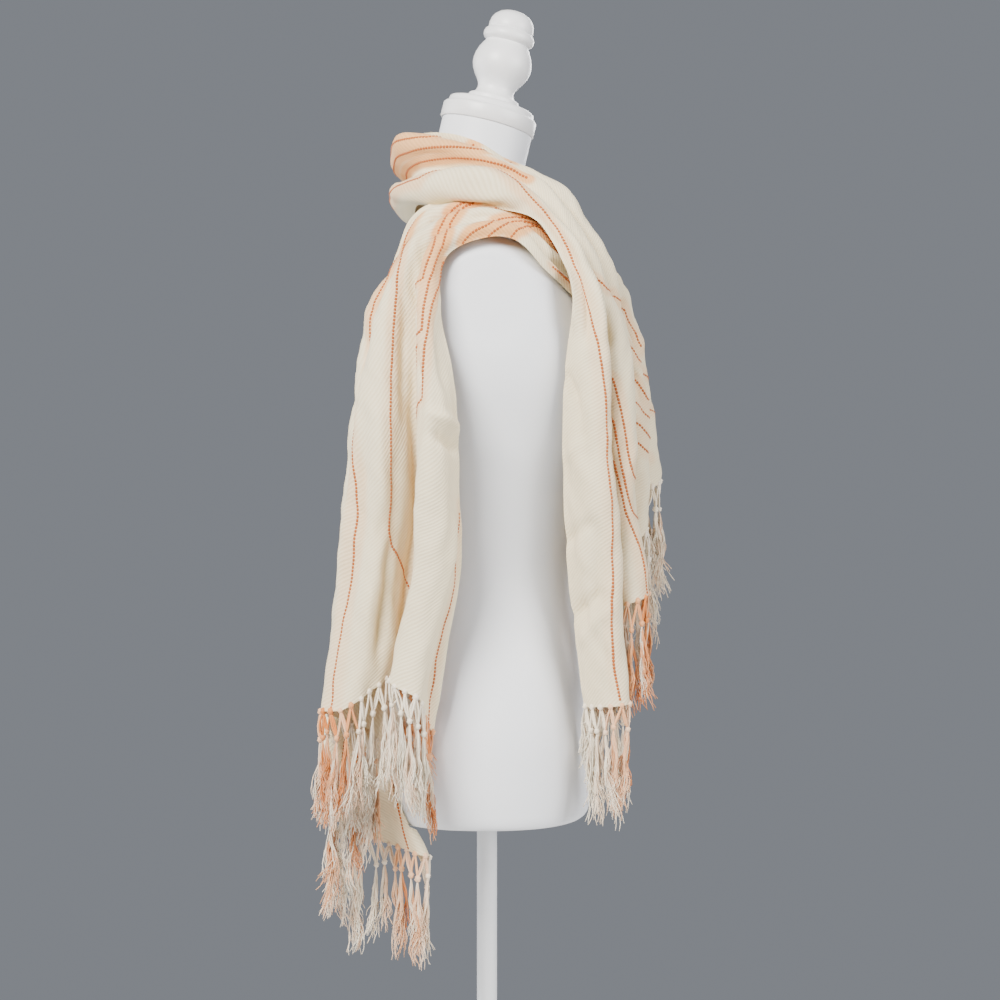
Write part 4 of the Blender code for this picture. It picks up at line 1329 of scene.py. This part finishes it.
    def lower_knots(self, roots: Array, half: Array) -> Array:
        """Place the second row of knots, each below the gap between two knots of the hem.

        Args:
            roots: the knots of the hem.
            half: the shares of the width midway between them.

        Returns:
            The knots' centres in millimetres.
        """
        middle = (self.hem_points(half) + roots[1:] / 2 + roots[:-1] / 2) / 2
        drop = self.second_row * self.draw.uniform(*self.SECOND_ROW, len(half))
        aside = self.draw.normal(0.0, self.second_row_aside, (len(half), 2))
        return self.path.torso.clear(middle - np.column_stack([aside, drop]), self.off_form)

    def dye_of(self, shares: Array) -> Array:
        """Work out how strongly yarn at the hem is dyed: the stripes that end there colour it.

        Args:
            shares: shares of the width.

        Returns:
            The dye at each of them, from 0 to 1.
        """
        ground = np.zeros(len(shares))
        for aside, strength in self.DYE_PLACES:
            beside = np.clip(shares + aside, 0.0, 1.0)
            found = self.path.sample(self.path.dye, self.path.hem_rows(self.end, beside), beside)
            ground = np.maximum(ground, strength * found)
        taken = self.draw.uniform(*self.DYE_TAKEN, len(shares))
        return np.clip(self.least_dye + ground * taken, 0.0, 1.0)

    def knots(self, centres: Array, dye: Array) -> tuple[Array, list, Array]:
        """Small wrapped knots, each a ball with a few turns.

        Args:
            centres: where they are.
            dye: the dye of each.

        Returns:
            Points, faces and the dye of each point.
        """
        around, rings = self.knot_sides, self.knot_rings
        ball = around * rings
        points, faces = [], []
        for number, centre in enumerate(centres):
            size = self.knot_size * self.draw.uniform(*self.KNOT_SIZES)
            start = number * (ball + 2)
            for ring in range(rings):
                tilt = math.pi * (ring + 1) / (rings + 1)
                for side in range(around):
                    turn = 2 * math.pi * side / around
                    wrap = 1 + self.knot_wrap * math.sin(2 * self.knot_turns * tilt + turn)
                    reach = size * math.sin(tilt) * wrap
                    points.append(centre + (reach * math.cos(turn), reach * math.sin(turn),
                                            size * self.knot_height * math.cos(tilt)))
            tip = (0, 0, size * self.knot_tip)
            points += [centre + tip, np.subtract(centre, tip)]
            last = start + ball - around
            for side in range(around):
                after = (side + 1) % around
                faces.append((start + side, start + after, start + ball))
                faces.append((last + after, last + side, start + ball + 1))
                for a in range(start, last, around):
                    b = a + around
                    faces.append((a + side, b + side, b + after, a + after))
        return np.array(points), faces, np.repeat(dye, ball + 2)

    def tubes(self, lines: Array, radii: Array, sides: int, dye: Array) -> tuple[Array, list, Array]:
        """Thin closed tubes along many lines at once.

        Args:
            lines: points of each line, as lines by steps by 3.
            radii: the radius at each step.
            sides: how many sides a tube has.
            dye: the dye of each line.

        Returns:
            Points, faces and the dye of each point.
        """
        tangent = unit(np.gradient(lines, axis=1))
        # Any way that no line runs in will do to start the first side from.
        first = unit(np.cross(tangent, np.array([0.83, 0.52, 0.2])))
        second = np.cross(tangent, first)
        count, steps = lines.shape[:2]
        rings = [
            lines + (first * math.cos(angle) + second * math.sin(angle)) * radii[None, :, None]
            for angle in np.linspace(0, 2 * math.pi, sides, endpoint=False)
        ]
        index = np.arange(count * steps * sides).reshape(count, steps, sides)
        faces = band_faces(index) + index[:, 0, ::-1].tolist() + index[:, -1].tolist()
        return np.stack(rings, 2).reshape(-1, 3), faces, np.repeat(dye, steps * sides)

    def cords(self, roots: Array, lower: Array, dye: Array) -> tuple[Array, list, Array]:
        """Cords from each hem knot down to the knots on both sides of it.

        Args:
            roots: the knots of the hem.
            lower: the knots of the second row.
            dye: the dye at each knot of the hem.

        Returns:
            Points, faces and the dye of each point.
        """
        lines, dyes = [], []
        part = np.linspace(0.0, 1.0, self.cord_steps)[:, None]
        bow = np.sin(math.pi * part)
        for number, root in enumerate(roots):
            for other in (number - 1, number):
                if not 0 <= other < len(lower):
                    continue
                for _ in range(self.cord_threads):
                    aside = self.draw.normal(0.0, self.cord_bow, 3)
                    sag = self.draw.normal(0.0, 1.0, 3) * self.cord_sag
                    lines.append(root * (1 - part) + lower[other] * part + aside * bow + sag * bow)
                    dyes.append(dye[number])
        radii = np.full(self.cord_steps, self.cord_radius)
        return self.tubes(np.array(lines), radii, self.cord_sides, np.array(dyes))

    def waves(self, ranges: tuple, count: int) -> tuple[Array, Array, Array]:
        """Draw the size, the rate and the start of one wave for each of many lines."""
        size, rate, phase = (self.draw.uniform(low, high, (count, 1)) for low, high in ranges)
        return size, rate, phase

    def strand_lines(self, knots: Array, knot: Array, part: Array) -> Array:
        """Lay out wavy strands below the second row of knots, spread and swayed but not yet dropped.

        Args:
            knots: the knots' centres.
            knot: the number of each strand's knot.
            part: the share of its length at each step.

        Returns:
            Lines, as strands by steps by 3.
        """
        count = len(knot)
        sway = np.clip(self.draw.normal(0.0, self.sway, (len(knots), 2)), -self.most_sway, self.most_sway)
        sway = sway[knot]
        lines = np.repeat(knots[:, None], len(part), axis=1)[knot]
        turn = self.draw.uniform(0, 2 * math.pi, count)
        reach = self.draw.uniform(*self.SPREAD, count)
        for axis, way in ((0, np.cos(turn)), (1, np.sin(turn))):
            size, rate, phase = self.waves(self.STRAND_WAVES, count)
            wave = np.sin(2 * math.pi * rate * part + phase) - np.sin(phase)
            spread = (reach * way)[:, None] * part**self.spread_power
            swayed = sway[:, axis : axis + 1] * part**self.sway_power
            lines[:, :, axis] += spread + size * smooth_step(part * self.wave_rate) * wave + swayed
        return lines

    def tassels(self, knots: Array, dye: Array) -> tuple[Array, list, Array]:
        """Loose crinkled threads in a few wavy strands, which hang from the second row of knots and fray out.

        Args:
            knots: the knots' centres.
            dye: the dye of each.

        Returns:
            Points, faces and the dye of each point.
        """
        draw = self.draw
        part = np.linspace(0.0, 1.0, self.thread_steps)
        knot = np.repeat(np.arange(len(knots)), self.strands)
        centre = self.strand_lines(knots, knot, part)
        strands, threads = len(knot), len(knot) * self.threads
        drop = (self.length - self.second_row) * draw.uniform(*self.STRAND_FALL, strands)
        shades = dye[knot] + draw.normal(0.0, self.strand_dye, strands)
        shades = np.where(draw.uniform(size=strands) < self.pale_strands, self.pale_dye, shades)
        strand = np.repeat(np.arange(strands), self.threads)
        lines = centre[strand]
        turn = draw.uniform(0, 2 * math.pi, threads)
        fray = np.where(draw.uniform(size=threads) < self.stray_threads, draw.uniform(*self.STRAY, threads),
                        draw.uniform(*self.FRAY, threads))
        for axis, way in ((0, np.cos(turn)), (1, np.sin(turn))):
            size, rate, phase = self.waves(self.THREAD_CURLS, threads)
            curl = size * part * np.sin(2 * math.pi * rate * part + phase)
            apart = (self.thread_apart + fray[:, None] * part**self.fray_power) * way[:, None]
            lines[:, :, axis] += apart * np.minimum(part * self.apart_rate, 1.0) + curl
        fall = drop[strand] * draw.uniform(*self.THREAD_FALL, threads)
        lift = self.fray_lift * fray[:, None] * part**self.lift_power
        lines[:, :, 2] -= self.under_knot * self.knot_size + fall[:, None] * part - lift
        lines = self.path.torso.clear(lines, self.threads_off_form)
        dyes = np.clip(shades[strand] + draw.normal(0.0, self.thread_dye, threads), 0.0, 1.0)
        radii = self.thread_radius * (1.0 - self.thread_taper * part)
        return self.tubes(lines, radii, self.thread_sides, dyes)


# ---- the form and its stand


@dataclass
class DressForm:
    """The limbless torso with its neck, and the turned cap and finial on it."""

    torso: TorsoShape
    cover: bpy.types.Material
    paint: bpy.types.Material
    sides: int = 144
    rings_per_row: int = 7
    rim: float = 7.0
    rim_rings: int = 5
    smooth_under: float = math.radians(50.0)
    turned_sides: int = 96
    cap_height: float = 24.3
    tilt: float = math.radians(14.0)
    neck_top: tuple[float, float, float] = (-0.5, 0.0, 1205.3)

    CAP = (
        (49.0, 0.0), (50.0, 1.2), (50.0, 14.0), (49.7, 15.4), (48.6, 16.6), (46.6, 17.2), (45.9, 18.0),
        (45.6, 20.5), (45.1, 22.6), (43.8, 23.7), (42.0, 24.0),
    )
    FINIAL = (
        (26.2, 0.0), (27.0, 1.0), (27.0, 5.6), (26.2, 7.4), (24.2, 8.4), (22.6, 9.0), (21.4, 10.2),
        (20.2, 12.0), (19.4, 14.4), (19.4, 17.0), (20.4, 20.4), (23.0, 24.6), (26.2, 29.0),
        (29.2, 34.4), (30.8, 40.0), (31.0, 45.0), (30.0, 51.0), (27.8, 57.0), (25.2, 61.8),
        (23.2, 64.6), (22.6, 66.0), (23.6, 67.0), (25.8, 68.6), (26.9, 71.0), (27.0, 74.0),
        (26.0, 77.0), (24.2, 78.8), (23.2, 79.6), (23.6, 81.2), (23.8, 84.0), (22.8, 89.0),
        (20.2, 93.6), (16.2, 97.2), (11.0, 99.6), (5.6, 100.8), (2.0, 101.0),
    )

    def build(self) -> list[bpy.types.Object]:
        """Make the torso, the cap and the finial.

        Returns:
            The three pieces.
        """
        torso = self.build_torso()
        cap = turn_up("neck_cap_turned", self.CAP, self.turned_sides, self.paint)
        finial = turn_up("finial_turned", self.FINIAL, self.turned_sides, self.paint)
        lean = Matrix.Rotation(self.tilt, 4, "Y")
        lift = Matrix.Translation(Vector(self.neck_top) * MM)
        cap.data.transform(lift @ lean)
        finial.data.transform(lift @ lean @ Matrix.Translation((0.0, 0.0, self.cap_height * MM)))
        for piece, node, slot in ((torso, "torso", Slot.COVER), (cap, "neck_cap", Slot.PAINT),
                                  (finial, "finial", Slot.PAINT)):
            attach(piece, BODY)
            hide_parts(node)
            log.info("%s: %d faces", piece.name, len(piece.data.polygons))
        return [torso, cap, finial]

    def build_torso(self) -> bpy.types.Object:
        """Make the smooth torso: a closed tube of rings with a rounded lower rim.

        Returns:
            The torso.
        """
        last = len(RINGS) - 1
        rows = np.linspace(0.0, last, last * self.rings_per_row + 1)
        rings = [self.torso.ring(row, self.sides) for row in rows]
        centre = rings[0].mean(axis=0)
        hem = []
        for angle in np.linspace(math.pi / 2, 0.0, self.rim_rings)[:-1]:
            ring = rings[0].copy()
            inward = self.rim * (1 - math.cos(angle))
            ring[:, :2] -= unit(ring[:, :2] - centre[:2]) * inward
            ring[:, 2] += self.rim * (1 - math.sin(angle))
            hem.append(ring)
        rings = hem + [ring for ring in rings if ring[:, 2].min() > RINGS[0][0] + self.rim + 1.0]
        points = np.concatenate(rings + [rings[0].mean(axis=0)[None], rings[-1].mean(axis=0)[None]])
        count, sides = len(rings), self.sides
        index = np.arange(count * sides).reshape(count, sides)
        after = np.roll(index, -1, axis=1)
        faces = band_faces(index)
        faces += [(after[0, side], index[0, side], count * sides) for side in range(sides)]
        faces += [(index[-1, side], after[-1, side], count * sides + 1) for side in range(sides)]
        made = mesh_object("form_torso", points, faces, self.cover)
        deselect()
        made.select_set(True)
        bpy.context.view_layer.objects.active = made
        bpy.ops.object.shade_smooth_by_angle(angle=self.smooth_under)
        deselect()
        return made


def turn_up(
    name: str, profile: tuple, sides: int, looks: bpy.types.Material, smooth_under: float = math.radians(40.0)
) -> bpy.types.Object:
    """Model a turned piece from the bottom up: a disc, extruded and scaled at each step of its outline.

    Args:
        name: the piece's name.
        profile: radius and height of each step, in millimetres, from the bottom up.
        sides: how many sides it has.
        looks: its material.
        smooth_under: the angle between faces under which their edge is shaded smooth.

    Returns:
        The piece, standing on the origin.
    """
    deselect()
    radius, height = profile[0]
    bpy.ops.mesh.primitive_circle_add(vertices=sides, radius=radius * MM, fill_type="NGON",
                                      location=(0.0, 0.0, height * MM))
    made = bpy.context.object
    made.name = made.data.name = name
    bpy.ops.object.transform_apply(location=True, rotation=True, scale=True)
    bpy.ops.object.mode_set(mode="EDIT")
    bpy.ops.mesh.select_all(action="SELECT")
    for wider, higher in profile[1:]:
        rise = (0.0, 0.0, (higher - height) * MM)
        bpy.ops.mesh.extrude_region_move(TRANSFORM_OT_translate={"value": rise})
        grow = wider / radius
        bpy.ops.transform.resize(value=(grow, grow, 1.0), center_override=(0.0, 0.0, higher * MM))
        radius, height = wider, higher
    bpy.ops.mesh.select_all(action="SELECT")
    bpy.ops.mesh.normals_make_consistent(inside=False)
    bpy.ops.object.mode_set(mode="OBJECT")
    bpy.ops.object.shade_smooth_by_angle(angle=smooth_under)
    made.data.materials.clear()
    made.data.materials.append(looks)
    deselect()
    return made


@dataclass
class Stand:
    """The pole, its collar and the round foot."""

    paint: bpy.types.Material
    sides: int = 96

    FOOT = (
        (158.6, 0.0), (160.0, 1.4), (160.0, 4.0), (159.4, 6.0), (157.6, 7.8), (154.0, 9.2),
        (148.0, 10.6), (110.0, 12.2), (60.0, 13.5), (30.0, 13.9),
    )
    POLE = ((10.5, 14.3), (10.5, 250.0), (10.5, 489.7))
    COLLAR = (
        (24.0, 14.3), (24.0, 19.0), (22.6, 21.0), (18.6, 32.0), (15.6, 41.0), (15.0, 43.4),
        (14.0, 44.3),
    )

    def build(self) -> list[bpy.types.Object]:
        """Make the three pieces.

        Returns:
            The pole, the collar and the foot.
        """
        made = []
        for name, node, profile in (
            ("pole_tube", "pole", self.POLE),
            ("collar_turned", "pole_collar", self.COLLAR),
            ("foot_disc", "foot", self.FOOT),
        ):
            piece = turn_up(name, profile, self.sides, self.paint)
            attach(piece, BODY)
            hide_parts(node)
            log.info("%s: %d faces", name, len(piece.data.polygons))
            made.append(piece)
        return made


# ---- floor, lights and camera


@dataclass
class Studio:
    """A plain pale floor, soft studio light and the camera."""

    floor_radius: float = 1.15
    floor_sides: int = 128
    floor_height: float = -0.0005
    floor_colour: str = "#D9D8D5"
    floor_shade: str = "#D2D1CE"
    grain_mm: float = 16.67
    air_colour: str = "#83878E"
    air_strength: float = 0.95
    lamps_aim: tuple[float, float, float] = (0.0, 0.0, 0.85)
    camera_place: tuple[float, float, float] = (0.0137, -2.2, 0.814)
    view_angle: float = math.radians(26.86)
    sensor_mm: float = 36.0

    # The lamps: name, place and size in metres, power in watts and colour.
    LAMPS = (
        ("key", (-1.3, -2.4, 2.4), 1.4, 225.0, "#FFFDF8"),
        ("fill", (2.3, -1.6, 1.5), 1.6, 95.0, "#FBFAFA"),
        ("left_side", (-2.4, 0.5, 1.2), 1.4, 34.0, "#F4F8FF"),
        ("behind", (0.9, 2.4, 1.9), 1.4, 58.0, "#FFFFFF"),
    )

    def build(self) -> None:
        """Make the floor, the lights and the camera."""
        self.floor()
        self.lights()
        self.camera()

    def floor(self) -> None:
        """Make a round pale floor of matt paper just under the foot, with a faint grain."""
        deselect()
        bpy.ops.mesh.primitive_circle_add(vertices=self.floor_sides, radius=self.floor_radius,
                                          fill_type="NGON", location=(0.0, 0.0, self.floor_height))
        made = bpy.context.object
        made.name = "studio_floor"
        looks, shader = new_material("pale_floor_paper", {"Roughness": 0.9})
        tree = looks.node_tree
        place = add_node(tree, "TexCoord").outputs["Object"]
        grain = add_node(tree, "TexNoise", None, {"Scale": 1 / (self.grain_mm * MM), "Detail": 3.0},
                         {"Vector": place}).outputs["Fac"]
        colour = add_node(tree, "Mix", {"data_type": "RGBA"},
                          {6: linear(self.floor_shade), 7: linear(self.floor_colour)}, {0: grain}).outputs[2]
        tree.links.new(colour, shader.inputs["Base Color"])
        made.data.materials.append(looks)

    def lights(self) -> None:
        """Make even air all round, a large soft lamp in front and weaker ones at both sides and behind."""
        world = bpy.data.worlds.new("studio_air")
        bpy.context.scene.world = world
        world.use_nodes = True
        air = world.node_tree.nodes["Background"]
        air.inputs["Color"].default_value = linear(self.air_colour)
        air.inputs["Strength"].default_value = self.air_strength
        for name, place, size, power, colour in self.LAMPS:
            lamp = bpy.data.lights.new(name, "AREA")
            lamp.energy = power
            lamp.size = size
            lamp.color = linear(colour)[:3]
            made = bpy.data.objects.new(name, lamp)
            made.location = place
            aim = Vector(self.lamps_aim) - Vector(place)
            made.rotation_euler = aim.to_track_quat("-Z", "Y").to_euler()
            bpy.context.scene.collection.objects.link(made)

    def camera(self) -> None:
        """Make the camera, level with the waist and looking at the form's right side."""
        lens = bpy.data.cameras.new("camera")
        lens.sensor_width = self.sensor_mm
        lens.angle = self.view_angle
        made = bpy.data.objects.new("camera", lens)
        made.location = self.camera_place
        made.rotation_euler = (math.radians(90.0), 0.0, 0.0)
        bpy.context.scene.collection.objects.link(made)
        bpy.context.scene.camera = made


def main() -> None:
    """Build every piece, in order."""
    logging.basicConfig(level=logging.INFO, format="%(message)s")
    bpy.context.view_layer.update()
    torso = TorsoShape()
    white = SatinPaint("satin_white_wood", "#F6F5F4", "#ECEBEB", 0.38).make()
    steel = SatinPaint("satin_white_steel", "#E9EAEC", "#DEE0E3", 0.34).make()
    DressForm(torso, JerseyCover().make(), white).build()
    Stand(steel).build()
    path = ScarfPath(torso)
    ScarfCloth(path, TwillCloth().make()).build()
    StripeDashes(path, StripeYarn().make()).build()
    yarn = FringeYarn().make()
    for end, seed in ((End.BACK, 5), (End.FRONT, 8)):
        KnottedFringe(path, yarn, end, seed=seed).build()
    Studio().build()


if __name__ == "__main__":
    main()
